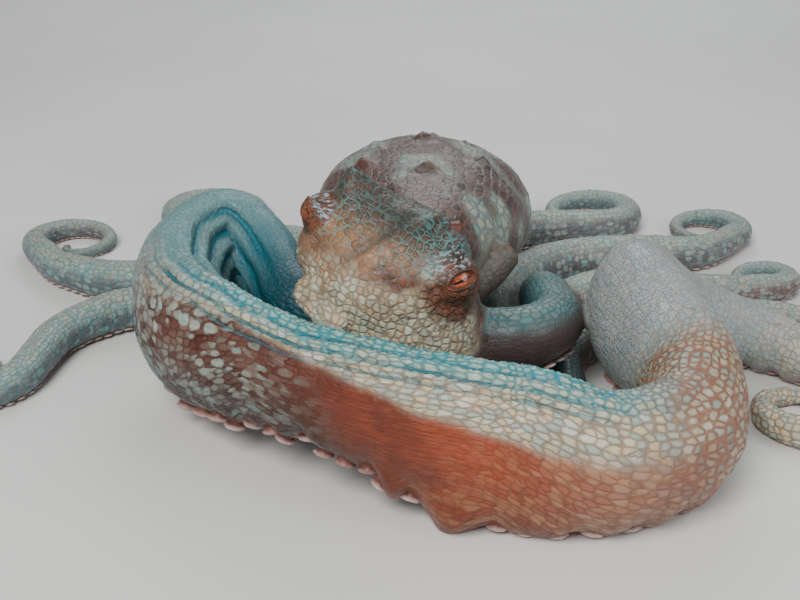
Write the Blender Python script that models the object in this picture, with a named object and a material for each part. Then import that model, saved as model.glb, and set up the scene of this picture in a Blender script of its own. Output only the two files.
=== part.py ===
"""Common octopus at rest, life-size, its front right arm wrapped round the head.

Metres, +Z up. The animal faces -Y and a little to -X, and stands on z = 0.
Its own left side lies towards +X. Sizes below are in centimetres times CM.
"""

import math

import bmesh
import bpy
import numpy as np
from mathutils import Vector

CM = 0.01
GAP = 0.0003  # between pieces that touch
GROW = 0.0004  # how far a cutter stands out from the piece it clears
STAND = Vector((-0.655, -8.75, 0.0)) * CM  # puts the middle of the whole spread over the origin

# Head: axes of the animal's left, front and top, tilted and turned as it looks out
EYE_MIDDLE = Vector((-0.40, -0.10, 7.93)) * CM
HEAD_LEFT = Vector((0.851, -0.435, -0.292))
HEAD_FRONT = Vector((-0.455, -0.889, 0.0))
HEAD_TOP = Vector((0.260, -0.133, 0.956))
HEAD_RADII = Vector((3.35, 2.95, 2.95)) * CM
HEAD_CENTRE = Vector((0.22, -0.15, -1.1)) * CM
HEAD_SEGMENTS = 28
HEAD_RINGS = 16
HEAD_BASE_Z = 4.3 * CM  # where the head meets the arm crown
BROW_SIDE = 2.1 * CM
BROW_TOP = 1.3 * CM
BROW_REACH = 1.2 * CM
BROW_LIFT_RIGHT = 1.15 * CM
BROW_LIFT_LEFT = 0.75 * CM

# Eyes
EYE_RADIUS = 0.85 * CM
EYE_LEFT = Vector((2.87, 0.40, 0.36)) * CM
EYE_RIGHT = Vector((-2.54, 0.60, 0.41)) * CM

# Arm crown: rings of (height, centre x, centre y, half-width, half-depth)
CROWN_RINGS = [
    (0.04, 0.75, 1.70, 3.4, 3.7),
    (0.90, 0.75, 1.70, 3.7, 4.0),
    (1.80, 0.75, 1.60, 3.8, 4.1),
    (2.70, 0.60, 1.30, 3.7, 3.8),
    (3.50, 0.35, 0.75, 3.5, 3.4),
    (4.27, 0.05, 0.30, 3.3, 3.1),
]
CROWN_SIDES = 28

# Mantle: stations of (x, y, z, half-width, half-height)
MANTLE_STATIONS = [
    (0.30, 1.4, 6.6, 2.0, 1.9),
    (0.75, 3.6, 6.4, 2.6, 2.2),
    (1.05, 5.8, 5.95, 3.7, 2.7),
    (1.15, 9.0, 5.5, 4.7, 2.95),
    (1.05, 12.4, 5.3, 4.9, 2.9),
    (0.80, 15.6, 5.0, 3.9, 2.4),
    (0.60, 17.6, 4.75, 2.3, 1.5),
    (0.55, 18.6, 4.65, 0.6, 0.4),
]
MANTLE_RINGS = 15
MANTLE_SIDES = 20

# Siphon: a tapered tube that opens beside the neck on the animal's left
SIPHON_PATH = [(2.3, 2.9, 5.0), (3.4, 3.5, 5.5), (4.4, 4.1, 6.2)]
SIPHON_OUTER = [1.05, 0.95, 0.72]
SIPHON_BORE = 0.42
SIPHON_BORE_DEPTH = 1.1
SIPHON_SIDES = 14

# Arms: stations of (x, y, clearance under the arm, height, width), from the root outwards,
# then a curl of (turns, first radius, last radius, side), +1 turning to the arm's left
ARMS = {
    "right_2": (
        [
            (-1.2, 0.9, 2.2, 3.0, 2.4),
            (-4.2, 2.2, 2.8, 3.2, 2.5),
            (-5.5, 5.0, 3.3, 3.5, 2.8),
            (-7.3, 6.5, 3.7, 4.2, 3.4),
            (-8.9, 4.8, 2.6, 5.0, 3.8),
            (-8.7, 1.8, 1.0, 5.9, 3.9),
            (-6.6, -1.0, 1.4, 5.3, 3.7),
            (-3.3, -3.6, 2.1, 4.25, 3.3),
            (0.4, -5.5, 1.2, 5.2, 3.5),
            (3.6, -6.3, 0.0, 6.3, 3.8),
            (7.2, -6.5, 0.0, 5.3, 4.0),
            (10.2, -4.7, 0.0, 5.1, 4.0),
            (11.0, -1.4, 0.3, 5.5, 4.0),
            (9.5, 1.9, 1.5, 5.8, 4.0),
            (11.6, 5.3, 0.5, 4.3, 3.3),
            (15.4, 5.6, 0.0, 3.0, 2.6),
            (18.4, 3.0, 0.0, 2.2, 2.0),
        ],
        (1.25, 2.9, 0.75, -1),
        (0.0, 0.26, 0.50, 0.75, 1.0),
    ),
    "right_1": (
        [
            (-0.9, 0.6, 0.0, 2.3, 2.3),
            (-3.6, 0.9, 0.0, 2.3, 2.1),
            (-5.4, 3.0, 0.0, 2.2, 2.1),
            (-6.4, 6.0, 0.0, 2.2, 2.1),
            (-8.4, 9.2, 0.0, 2.1, 2.1),
            (-12.2, 9.7, 0.0, 2.0, 2.0),
            (-15.2, 7.2, 0.0, 1.8, 1.8),
            (-16.0, 3.4, 0.0, 1.6, 1.6),
        ],
        (1.35, 2.7, 0.6, -1),
        (0.0, 0.3, 0.62, 1.0),
    ),
    "right_3": (
        [
            (-0.8, 2.6, 0.0, 2.5, 2.4),
            (-3.2, 4.9, 0.0, 2.5, 2.3),
            (-4.1, 7.6, 0.0, 2.4, 2.3),
            (-5.8, 10.9, 0.0, 2.3, 2.3),
            (-9.4, 12.8, 0.0, 2.2, 2.3),
            (-13.6, 12.6, 0.0, 2.0, 2.1),
            (-17.0, 14.4, 0.0, 1.7, 1.8),
            (-19.2, 17.4, 0.0, 1.4, 1.5),
        ],
        (1.2, 2.4, 0.6, -1),
        (0.0, 0.3, 0.62, 1.0),
    ),
    "right_4": (
        [
            (0.1, 2.8, 0.0, 2.5, 2.3),
            (-0.4, 5.6, 0.0, 2.5, 2.2),
            (-0.9, 9.0, 0.0, 2.4, 2.3),
            (-2.1, 13.0, 0.0, 2.3, 2.3),
            (-4.6, 16.2, 0.0, 2.2, 2.3),
            (-8.2, 18.0, 0.0, 2.0, 2.1),
            (-11.6, 20.4, 0.0, 1.7, 1.8),
        ],
        (1.45, 3.0, 0.6, -1),
        (0.0, 0.3, 0.62, 1.0),
    ),
    "left_4": (
        [
            (1.4, 2.8, 0.0, 2.5, 2.3),
            (2.1, 5.6, 0.0, 2.5, 2.2),
            (1.8, 9.0, 0.0, 2.4, 2.3),
            (2.0, 13.0, 0.0, 2.3, 2.3),
            (3.4, 16.8, 0.0, 2.2, 2.2),
            (6.8, 19.4, 0.0, 2.0, 2.1),
            (10.8, 20.2, 0.0, 1.8, 1.9),
        ],
        (1.3, 2.9, 0.6, 1),
        (0.0, 0.3, 0.62, 1.0),
    ),
    "left_3": (
        [
            (2.6, 2.4, 0.0, 2.3, 2.2),
            (4.5, 4.8, 0.0, 2.2, 2.0),
            (4.2, 7.8, 0.0, 2.2, 2.1),
            (5.2, 11.4, 0.0, 2.3, 2.2),
            (7.9, 14.6, 0.0, 2.2, 2.2),
            (11.8, 16.0, 0.0, 2.0, 2.0),
            (15.6, 16.6, 0.0, 1.7, 1.8),
            (18.2, 19.2, 0.0, 1.4, 1.5),
        ],
        (1.1, 2.2, 0.6, 1),
        (0.0, 0.3, 0.62, 1.0),
    ),
    "left_2": (
        [
            (1.6, 0.8, 2.6, 2.5, 2.4),
            (4.6, -0.4, 3.0, 2.6, 2.3),
            (6.2, 1.4, 2.9, 2.4, 2.2),
            (6.3, 4.4, 2.6, 2.2, 2.1),
            (6.4, 7.2, 1.5, 2.2, 2.1),
            (7.8, 10.0, 0.0, 2.1, 2.1),
            (11.4, 12.0, 0.0, 2.0, 2.0),
            (15.4, 11.6, 0.0, 1.7, 1.8),
            (18.4, 12.4, 0.0, 1.4, 1.5),
        ],
        (1.0, 1.7, 0.6, 1),
        (0.0, 0.3, 0.62, 1.0),
    ),
    "left_1": (
        [
            (1.2, -0.6, 0.0, 2.4, 2.3),
            (3.6, -2.0, 0.0, 2.2, 2.1),
            (5.9, -1.5, 0.0, 2.0, 1.9),
            (6.8, 1.4, 0.0, 1.9, 1.9),
            (7.0, 4.2, 0.0, 1.9, 1.9),
            (9.2, 7.2, 0.0, 1.9, 1.9),
            (13.2, 8.7, 0.0, 1.8, 1.8),
            (17.4, 8.8, 0.0, 1.6, 1.6),
            (20.8, 7.6, 0.0, 1.3, 1.4),
        ],
        (1.1, 1.9, 0.55, -1),
        (0.0, 0.3, 0.62, 1.0),
    ),
}
LENGTH_NAMES = {3: ("base", "middle", "tip"), 4: ("base", "front", "outer", "tip")}
ARM_SIDES = 12
ARM_TIP = 0.30  # height and width of an arm's end
ARM_SINK = 0.04  # share of the half-height flattened where an arm lies on the floor
ARM_STEP_WIDE = 1.55  # distance between rings, as a share of the arm's width
ARM_STEP_TURN = 26.0  # most turn between rings, in degrees
FINE = 40  # samples between two stations
CUT_REACH = 20 * CM

COLOURS = {
    "head": (0.30, 0.20, 0.13),
    "crown": (0.42, 0.36, 0.28),
    "mantle": (0.27, 0.14, 0.09),
    "siphon": (0.50, 0.44, 0.38),
    "eye": (0.33, 0.10, 0.03),
    "arm": (0.40, 0.33, 0.26),
}
SKIN_ROUGHNESS = 0.45
EYE_ROUGHNESS = 0.12


def clear_scene():
    for item in list(bpy.data.objects):
        bpy.data.objects.remove(item, do_unlink=True)


def make_collection(name):
    found = bpy.data.collections.new(name)
    bpy.context.scene.collection.children.link(found)
    return found


def make_material(name, colour, roughness):
    material = bpy.data.materials.new(name)
    material.use_nodes = True
    shader = material.node_tree.nodes["Principled BSDF"]
    shader.inputs["Base Color"].default_value = (*colour, 1.0)
    shader.inputs["Roughness"].default_value = roughness
    shader.inputs["Metallic"].default_value = 0.0
    material.diffuse_color = (*colour, 1.0)
    return material


def smooth_curve(points, count):
    """Centripetal Catmull-Rom curve through the points, count samples to each span."""
    p = np.array(points, float)
    p = np.vstack([2 * p[0] - p[1], p, 2 * p[-1] - p[-2]])
    out = []
    for i in range(1, len(p) - 2):
        knots = [0.0]
        for a, b in zip(p[i - 1 : i + 2], p[i : i + 3]):
            knots.append(knots[-1] + max(np.linalg.norm(b[:3] - a[:3]), 1e-6) ** 0.5)
        t0, t1, t2, t3 = knots
        for t in np.linspace(t1, t2, count, endpoint=False):
            a1 = ((t1 - t) * p[i - 1] + (t - t0) * p[i]) / (t1 - t0)
            a2 = ((t2 - t) * p[i] + (t - t1) * p[i + 1]) / (t2 - t1)
            a3 = ((t3 - t) * p[i + 1] + (t - t2) * p[i + 2]) / (t3 - t2)
            b1 = ((t2 - t) * a1 + (t - t0) * a2) / (t2 - t0)
            b2 = ((t3 - t) * a2 + (t - t1) * a3) / (t3 - t1)
            out.append(((t2 - t) * b1 + (t - t1) * b2) / (t2 - t1))
    out.append(p[-2])
    return np.array(out)


def add_curl(path, curl):
    """Extends a path of (x, y, lift, height, width) with a flat spiral to the arm's tip."""
    turns, first, last, side = curl
    ahead = path[-1, :2] - path[-2, :2]
    heading = math.atan2(ahead[1], ahead[0])
    x, y = path[-1, :2]
    height, width = path[-1, 3:5]
    steps = int(turns * 72)
    turn = 2 * math.pi * turns / steps
    radii = [last + (first - last) * (1 - (k + 0.5) / steps) for k in range(steps)]
    total = sum(radii) * turn
    run = 0.0
    rows = []
    for radius in radii:
        heading += side * turn
        x += math.cos(heading) * radius * turn
        y += math.sin(heading) * radius * turn
        run += radius * turn
        left = max(1 - run / total, 0.0) ** 0.85
        size = (ARM_TIP + (height - ARM_TIP) * left, ARM_TIP + (width - ARM_TIP) * left)
        rows.append((x, y, path[-1, 2], *size))
    return np.vstack([path, rows])


def arm_path(stations, curl):
    """Samples of an arm as (x, y, z of its middle, height, width), with their run from the root."""
    path = add_curl(smooth_curve(stations, FINE), curl)
    middle = path[:, 2] + path[:, 3] / 2 * (1 - ARM_SINK * (path[:, 2] < 0.05))
    samples = np.column_stack([path[:, :2], middle, path[:, 3:5]]) * CM
    steps = np.linalg.norm(np.diff(samples[:, :3], axis=0), axis=1)
    return samples, np.concatenate([[0.0], np.cumsum(steps)])


def section(middle, ahead, height, width):
    """Ring of points round an arm: rounded above, narrower below, flattened on the floor."""
    side = Vector((ahead.y, -ahead.x, 0.0)).normalized()
    up = side.cross(ahead).normalized()
    ring = []
    for k in range(ARM_SIDES):
        angle = 2 * math.pi * (k + 0.5) / ARM_SIDES
        across = math.cos(angle)
        rise = math.sin(angle)
        if rise < 0:
            across *= 1 - 0.16 * rise * rise
        point = middle + side * (across * width / 2) + up * (rise * height / 2)
        point.z = max(point.z, 0.0)
        ring.append(point)
    return ring


def build_loft(name, rings):
    """Closed mesh through equal rings, with flat ends and its origin in the first ring's middle."""
    start = sum(rings[0], Vector()) / len(rings[0])
    bm = bmesh.new()
    rows = [[bm.verts.new(point - start) for point in ring] for ring in rings]
    for low, high in zip(rows, rows[1:]):
        for k in range(len(low)):
            n = (k + 1) % len(low)
            bm.faces.new((low[k], low[n], high[n], high[k]))
    bm.faces.new(rows[0][::-1])
    bm.faces.new(rows[-1])
    bmesh.ops.triangulate(bm, faces=bm.faces)
    bmesh.ops.recalc_face_normals(bm, faces=bm.faces)
    mesh = bpy.data.meshes.new(name)
    bm.to_mesh(mesh)
    bm.free()
    mesh.shade_smooth()
    made = bpy.data.objects.new(name, mesh)
    made.location = start
    return made


def ring_places(samples, run, first, last):
    """Indices of the rings of one length of an arm: closer where it bends or grows thin."""
    places = [first]
    turned = 0.0
    ahead = np.diff(samples[:, :3], axis=0)
    ahead /= np.linalg.norm(ahead, axis=1)[:, None]
    for i in range(first + 1, last):
        dot = float(np.clip(ahead[i] @ ahead[i - 1], -1, 1))
        turned += math.degrees(math.acos(dot))
        gone = run[i] - run[places[-1]]
        if turned > ARM_STEP_TURN or gone > ARM_STEP_WIDE * samples[i, 4]:
            places.append(i)
            turned = 0.0
    if len(places) > 1 and run[last] - run[places[-1]] < 0.4 * samples[last, 4]:
        places.pop()
    places.append(last)
    return places


def build_arm(name, stations, curl, shares):
    """The lengths of one arm, each its own object with GAP between them."""
    samples, run = arm_path(stations, curl)
    made = []
    for label, low, high in zip(LENGTH_NAMES[len(shares) - 1], shares, shares[1:]):
        first = int(np.searchsorted(run, low * run[-1]))
        last = min(int(np.searchsorted(run, high * run[-1])), len(run) - 1)
        rings = []
        for i in ring_places(samples, run, first, last):
            before = Vector(samples[max(i - 1, 0), :3])
            after = Vector(samples[min(i + 1, len(samples) - 1), :3])
            ahead = (after - before).normalized()
            middle = Vector(samples[i, :3])
            if i == first and low > 0:
                middle += ahead * GAP
            rings.append(section(middle, ahead, samples[i, 3], samples[i, 4]))
        made.append(build_loft(f"arm_{name}_{label}", rings))
    return made


def ellipse_ring(middle, across, up, half_width, half_height, sides):
    ring = []
    for k in range(sides):
        angle = 2 * math.pi * (k + 0.5) / sides
        out = across * (half_width * math.cos(angle)) + up * (half_height * math.sin(angle))
        ring.append(middle + out)
    return ring


def crown_rings(grow):
    across = HEAD_LEFT.xy.to_3d().normalized()
    rings = []
    for height, x, y, half_width, half_depth in CROWN_RINGS:
        middle = Vector((x * CM, y * CM, height * CM))
        if height == CROWN_RINGS[0][0]:
            middle.z -= 20 * grow
        if height == CROWN_RINGS[-1][0]:
            middle.z += grow
        size = (half_width * CM + grow, half_depth * CM + grow)
        rings.append(ellipse_ring(middle, across, -HEAD_FRONT, *size, CROWN_SIDES))
    return rings


def mantle_rings(grow):
    curve = smooth_curve(MANTLE_STATIONS, FINE)
    picks = np.linspace(0, len(curve) - 1, MANTLE_RINGS).round().astype(int)
    rings = []
    for i in picks:
        ahead = Vector(curve[min(i + 1, len(curve) - 1), :3] - curve[max(i - 1, 0), :3]).normalized()
        across = Vector((ahead.y, -ahead.x, 0.0)).normalized()
        up = across.cross(ahead)
        size = (curve[i, 3] * CM + grow, curve[i, 4] * CM + grow)
        middle = Vector(curve[i, :3]) * CM
        if i == picks[-1]:
            middle += ahead * grow
        rings.append(ellipse_ring(middle, across, up, *size, MANTLE_SIDES))
    return rings


def head_place(side, front, top):
    return EYE_MIDDLE + HEAD_LEFT * side + HEAD_FRONT * front + HEAD_TOP * top


def build_head(name, grow):
    """Rounded head from a sphere, raised into a brow over each eye."""
    bm = bmesh.new()
    bmesh.ops.create_uvsphere(bm, u_segments=HEAD_SEGMENTS, v_segments=HEAD_RINGS, radius=1.0)
    for vert in bm.verts:
        unit = vert.co.copy()
        local = HEAD_CENTRE + Vector([a * (r + grow) for a, r in zip(unit, HEAD_RADII)])
        for sign, lift in ((1, BROW_LIFT_LEFT), (-1, BROW_LIFT_RIGHT)):
            away = local - Vector((sign * BROW_SIDE, 0.0, BROW_TOP))
            reach = math.exp(-away.length_squared / BROW_REACH**2)
            local += Vector((0.35 * sign, 0.1, 1.0)) * (lift * reach)
        vert.co = head_place(*local) - EYE_MIDDLE
    bmesh.ops.reverse_faces(bm, faces=bm.faces)
    mesh = bpy.data.meshes.new(name)
    bm.to_mesh(mesh)
    bm.free()
    mesh.shade_smooth()
    made = bpy.data.objects.new(name, mesh)
    made.location = EYE_MIDDLE
    return made


def build_ball(name, middle, radius):
    bm = bmesh.new()
    bmesh.ops.create_uvsphere(bm, u_segments=16, v_segments=10, radius=radius)
    mesh = bpy.data.meshes.new(name)
    bm.to_mesh(mesh)
    bm.free()
    mesh.shade_smooth()
    made = bpy.data.objects.new(name, mesh)
    made.location = middle
    return made


def build_box(name, low, high):
    bm = bmesh.new()
    bmesh.ops.create_cube(bm, size=1.0)
    size = Vector(high) - Vector(low)
    bmesh.ops.scale(bm, vec=size, verts=bm.verts)
    mesh = bpy.data.meshes.new(name)
    bm.to_mesh(mesh)
    bm.free()
    made = bpy.data.objects.new(name, mesh)
    made.location = (Vector(low) + Vector(high)) / 2
    return made


def as_cutter(item, cutters, base):
    item.hide_render = True
    item.display_type = "WIRE"
    item.parent = base
    cutters.objects.link(item)
    return item


def as_part(item, parts, base, material):
    item.data.materials.append(material)
    item.parent = base
    parts.objects.link(item)
    return item


def cut(item, *tools):
    for tool in tools:
        step = item.modifiers.new(f"clear_{tool.name}", "BOOLEAN")
        step.operation = "DIFFERENCE"
        step.solver = "EXACT"
        step.object = tool


def build_siphon(cutters, base):
    """Tapered tube with an open bore at its outer end."""
    path = [Vector(p) * CM for p in SIPHON_PATH]
    rings = []
    for i, middle in enumerate(path):
        ahead = (path[min(i + 1, 2)] - path[max(i - 1, 0)]).normalized()
        across = Vector((ahead.y, -ahead.x, 0.0)).normalized()
        radius = SIPHON_OUTER[i] * CM
        rings.append(ellipse_ring(middle, across, across.cross(ahead), radius, radius, SIPHON_SIDES))
    tube = build_loft("siphon", rings)
    ahead = (path[2] - path[1]).normalized()
    across = Vector((ahead.y, -ahead.x, 0.0)).normalized()
    bore = []
    for along, radius in ((-SIPHON_BORE_DEPTH, 0.7 * SIPHON_BORE), (0.4, SIPHON_BORE)):
        middle = path[2] + ahead * (along * CM)
        size = radius * CM
        bore.append(ellipse_ring(middle, across, across.cross(ahead), size, size, SIPHON_SIDES))
    cut(tube, as_cutter(build_loft("siphon_bore", bore), cutters, base))
    return tube


def main():
    clear_scene()
    parts = make_collection("octopus")
    cutters = make_collection("cutters")
    base = bpy.data.objects.new("octopus_base", None)
    base.location = STAND
    parts.objects.link(base)
    flesh = [name for name in COLOURS if name != "eye"]
    skin = {name: make_material(f"{name}_skin", COLOURS[name], SKIN_ROUGHNESS) for name in flesh}
    eye_surface = make_material("eye_surface", COLOURS["eye"], EYE_ROUGHNESS)

    head_clear = as_cutter(build_head("head_clearance", GROW), cutters, base)
    crown_clear = as_cutter(build_loft("crown_clearance", crown_rings(GROW)), cutters, base)
    mantle_clear = as_cutter(build_loft("mantle_clearance", mantle_rings(GROW)), cutters, base)
    low = (-CUT_REACH, -CUT_REACH, -CUT_REACH)
    high = (CUT_REACH, CUT_REACH, HEAD_BASE_Z)
    below = as_cutter(build_box("below_head", low, high), cutters, base)

    head = as_part(build_head("head", 0.0), parts, base, skin["head"])
    cut(head, below)
    for place, label in ((EYE_LEFT, "left"), (EYE_RIGHT, "right")):
        middle = head_place(*place)
        as_part(build_ball(f"eye_{label}", middle, EYE_RADIUS), parts, base, eye_surface)
        cut(head, as_cutter(build_ball(f"socket_{label}", middle, EYE_RADIUS + GAP), cutters, base))

    as_part(build_loft("crown", crown_rings(0.0)), parts, base, skin["crown"])
    mantle = as_part(build_loft("mantle", mantle_rings(0.0)), parts, base, skin["mantle"])
    cut(mantle, head_clear, crown_clear)
    siphon = as_part(build_siphon(cutters, base), parts, base, skin["siphon"])
    cut(siphon, head_clear, crown_clear, mantle_clear)

    for name, (stations, curl, shares) in ARMS.items():
        lengths = build_arm(name, stations, curl, shares)
        for piece in lengths:
            as_part(piece, parts, base, skin["arm"])
        cut(lengths[0], crown_clear, head_clear)


main()
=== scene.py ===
"""Common octopus: one wet skin over the solids, suckers, eyes and a plain stage."""

import math

import bmesh
import bpy
import numpy as np
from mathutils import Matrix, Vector
from mathutils.bvhtree import BVHTree


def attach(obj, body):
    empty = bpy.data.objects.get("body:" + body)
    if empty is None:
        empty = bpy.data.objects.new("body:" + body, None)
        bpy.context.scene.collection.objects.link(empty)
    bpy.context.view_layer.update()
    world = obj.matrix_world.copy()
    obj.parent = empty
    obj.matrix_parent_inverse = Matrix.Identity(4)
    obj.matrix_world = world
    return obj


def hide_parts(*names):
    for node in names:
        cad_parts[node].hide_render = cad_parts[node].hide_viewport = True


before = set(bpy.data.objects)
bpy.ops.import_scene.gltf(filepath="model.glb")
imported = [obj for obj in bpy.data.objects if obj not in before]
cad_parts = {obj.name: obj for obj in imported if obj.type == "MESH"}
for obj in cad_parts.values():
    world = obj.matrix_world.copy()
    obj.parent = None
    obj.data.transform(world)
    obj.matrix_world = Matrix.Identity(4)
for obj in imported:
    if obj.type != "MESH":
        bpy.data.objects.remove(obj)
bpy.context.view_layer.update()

bl_info = {
    "name": "Octopus at rest",
    "version": (1, 0, 0),
    "blender": (4, 5, 0),
    "location": "3D View > Sidebar > Octopus",
    "description": "Builds the skin, suckers and eyes of a resting octopus over its solids",
    "category": "Object",
}

CM = 0.01
STAND = np.array((-0.655, -8.75, 0.0))  # from the body's own frame to the frame on the floor, cm

# Head axes: the animal's left, front and top
EYE_MIDDLE = np.array((-0.40, -0.10, 7.93))
HEAD_AXES = np.array(((0.851, -0.435, -0.292), (-0.455, -0.889, 0.0), (0.260, -0.133, 0.956)))
HEAD_RADII = np.array((3.35, 2.95, 2.95))
HEAD_CENTRE = np.array((0.22, -0.15, -1.1))
BROW = (2.1, 1.3, 1.2)  # side, top, reach
BROW_LIFT = {-1: 1.15, 1: 0.75}
EYE_LEFT = np.array((2.87, 0.40, 0.36))
EYE_RIGHT = np.array((-2.54, 0.60, 0.41))

CROWN_RINGS = [  # z, x, y, half width, half depth
    (0.04, 0.75, 1.70, 3.4, 3.7),
    (0.90, 0.75, 1.70, 3.7, 4.0),
    (1.80, 0.75, 1.60, 3.8, 4.1),
    (2.70, 0.60, 1.30, 3.7, 3.8),
    (3.50, 0.35, 0.75, 3.5, 3.4),
    (4.27, 0.05, 0.30, 3.3, 3.1),
]
MANTLE_STATIONS = [  # x, y, z, half width, half height
    (0.30, 1.4, 6.6, 2.0, 1.9),
    (0.75, 3.6, 6.4, 2.6, 2.2),
    (1.05, 5.8, 5.95, 3.7, 2.7),
    (1.15, 9.0, 5.5, 4.7, 2.95),
    (1.05, 12.4, 5.3, 4.9, 2.9),
    (0.80, 15.6, 5.0, 3.9, 2.4),
    (0.60, 17.6, 4.75, 2.3, 1.5),
    (0.55, 18.6, 4.65, 0.6, 0.4),
]
NECK_RINGS = [  # fills out the lower head down to the arm crown
    (3.9, 0.05, 0.30, 3.25, 3.05),
    (4.9, -0.05, 0.20, 3.32, 3.05),
    (5.9, -0.22, 0.12, 3.34, 2.98),
    (6.9, -0.42, 0.08, 3.20, 2.80),
]
CHEEKS = [(0.42, -0.10, -0.25, 1.22), (0.55, -0.20, -1.25, 1.45)]  # inward, front, top, radius
HEAD_FOLD = [  # x, y, z, radius
    (-3.45, -0.90, 7.15, 0.12),
    (-3.66, -1.00, 6.95, 0.22),
    (-3.74, -1.15, 6.60, 0.27),
    (-3.56, -1.40, 6.38, 0.27),
    (-3.10, -1.72, 6.12, 0.36),
    (-2.58, -2.10, 5.96, 0.38),
    (-1.95, -2.42, 5.84, 0.30),
]
FOLD_ROOT = (-3.12, -1.25, 6.80)
SIPHON_PATH = [(2.3, 2.9, 5.0), (3.4, 3.5, 5.5), (4.4, 4.1, 6.2)]
SIPHON_OUTER = [1.05, 0.95, 0.72]
SIPHON_BORE = 0.42

# Arms: stations of (x, y, clearance, height, width), then a curl of
# (turns, first radius, last radius, side)
ARMS = {
    "right_2": (
        [
            (-1.2, 0.9, 2.2, 3.0, 2.4),
            (-4.2, 2.2, 2.8, 3.2, 2.5),
            (-5.5, 5.0, 3.3, 3.5, 2.8),
            (-7.3, 6.5, 3.7, 4.2, 3.4),
            (-8.9, 4.8, 2.6, 5.0, 3.8),
            (-8.7, 1.8, 1.0, 5.9, 3.9),
            (-6.6, -1.0, 1.4, 5.3, 3.7),
            (-3.3, -3.6, 2.1, 4.25, 3.3),
            (0.4, -5.5, 1.2, 5.2, 3.5),
            (3.6, -6.3, 0.0, 6.3, 3.8),
            (7.2, -6.5, 0.0, 5.3, 4.0),
            (10.2, -4.7, 0.0, 5.1, 4.0),
            (11.0, -1.4, 0.3, 5.5, 4.0),
            (9.5, 1.9, 1.5, 5.8, 4.0),
            (11.6, 5.3, 0.5, 4.3, 3.3),
            (15.4, 5.6, 0.0, 3.0, 2.6),
            (18.4, 3.0, 0.0, 2.2, 2.0),
        ],
        (1.25, 2.9, 0.75, -1),
    ),
    "right_1": (
        [
            (-0.9, 0.6, 0.0, 2.3, 2.3),
            (-3.6, 0.9, 0.0, 2.3, 2.1),
            (-5.4, 3.0, 0.0, 2.2, 2.1),
            (-6.4, 6.0, 0.0, 2.2, 2.1),
            (-8.4, 9.2, 0.0, 2.1, 2.1),
            (-12.2, 9.7, 0.0, 2.0, 2.0),
            (-15.2, 7.2, 0.0, 1.8, 1.8),
            (-16.0, 3.4, 0.0, 1.6, 1.6),
        ],
        (1.35, 2.7, 0.6, -1),
    ),
    "right_3": (
        [
            (-0.8, 2.6, 0.0, 2.5, 2.4),
            (-3.2, 4.9, 0.0, 2.5, 2.3),
            (-4.1, 7.6, 0.0, 2.4, 2.3),
            (-5.8, 10.9, 0.0, 2.3, 2.3),
            (-9.4, 12.8, 0.0, 2.2, 2.3),
            (-13.6, 12.6, 0.0, 2.0, 2.1),
            (-17.0, 14.4, 0.0, 1.7, 1.8),
            (-19.2, 17.4, 0.0, 1.4, 1.5),
        ],
        (1.2, 2.4, 0.6, -1),
    ),
    "right_4": (
        [
            (0.1, 2.8, 0.0, 2.5, 2.3),
            (-0.4, 5.6, 0.0, 2.5, 2.2),
            (-0.9, 9.0, 0.0, 2.4, 2.3),
            (-2.1, 13.0, 0.0, 2.3, 2.3),
            (-4.6, 16.2, 0.0, 2.2, 2.3),
            (-8.2, 18.0, 0.0, 2.0, 2.1),
            (-11.6, 20.4, 0.0, 1.7, 1.8),
        ],
        (1.45, 3.0, 0.6, -1),
    ),
    "left_4": (
        [
            (1.4, 2.8, 0.0, 2.5, 2.3),
            (2.1, 5.6, 0.0, 2.5, 2.2),
            (1.8, 9.0, 0.0, 2.4, 2.3),
            (2.0, 13.0, 0.0, 2.3, 2.3),
            (3.4, 16.8, 0.0, 2.2, 2.2),
            (6.8, 19.4, 0.0, 2.0, 2.1),
            (10.8, 20.2, 0.0, 1.8, 1.9),
        ],
        (1.3, 2.9, 0.6, 1),
    ),
    "left_3": (
        [
            (2.6, 2.4, 0.0, 2.3, 2.2),
            (4.5, 4.8, 0.0, 2.2, 2.0),
            (4.2, 7.8, 0.0, 2.2, 2.1),
            (5.2, 11.4, 0.0, 2.3, 2.2),
            (7.9, 14.6, 0.0, 2.2, 2.2),
            (11.8, 16.0, 0.0, 2.0, 2.0),
            (15.6, 16.6, 0.0, 1.7, 1.8),
            (18.2, 19.2, 0.0, 1.4, 1.5),
        ],
        (1.1, 2.2, 0.6, 1),
    ),
    "left_2": (
        [
            (1.6, 0.8, 2.6, 2.5, 2.4),
            (4.6, -0.4, 3.0, 2.6, 2.3),
            (6.2, 1.4, 2.9, 2.4, 2.2),
            (6.3, 4.4, 2.6, 2.2, 2.1),
            (6.4, 7.2, 1.5, 2.2, 2.1),
            (7.8, 10.0, 0.0, 2.1, 2.1),
            (11.4, 12.0, 0.0, 2.0, 2.0),
            (15.4, 11.6, 0.0, 1.7, 1.8),
            (18.4, 12.4, 0.0, 1.4, 1.5),
        ],
        (1.0, 1.7, 0.6, 1),
    ),
    "left_1": (
        [
            (1.2, -0.6, 0.0, 2.4, 2.3),
            (3.6, -2.0, 0.0, 2.2, 2.1),
            (5.9, -1.5, 0.0, 2.0, 1.9),
            (6.8, 1.4, 0.0, 1.9, 1.9),
            (7.0, 4.2, 0.0, 1.9, 1.9),
            (9.2, 7.2, 0.0, 1.9, 1.9),
            (13.2, 8.7, 0.0, 1.8, 1.8),
            (17.4, 8.8, 0.0, 1.6, 1.6),
            (20.8, 7.6, 0.0, 1.3, 1.4),
        ],
        (1.1, 1.9, 0.55, -1),
    ),
}
WEBS = [  # pairs of arms with skin stretched between their bases
    ("right_1", "right_3"),
    ("right_3", "right_4"),
    ("right_4", "left_4"),
    ("left_4", "left_3"),
    ("left_3", "left_1"),
]
WEB_REACH = 5.8  # how far out along the arms it goes
ARM_TIP = 0.30
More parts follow.
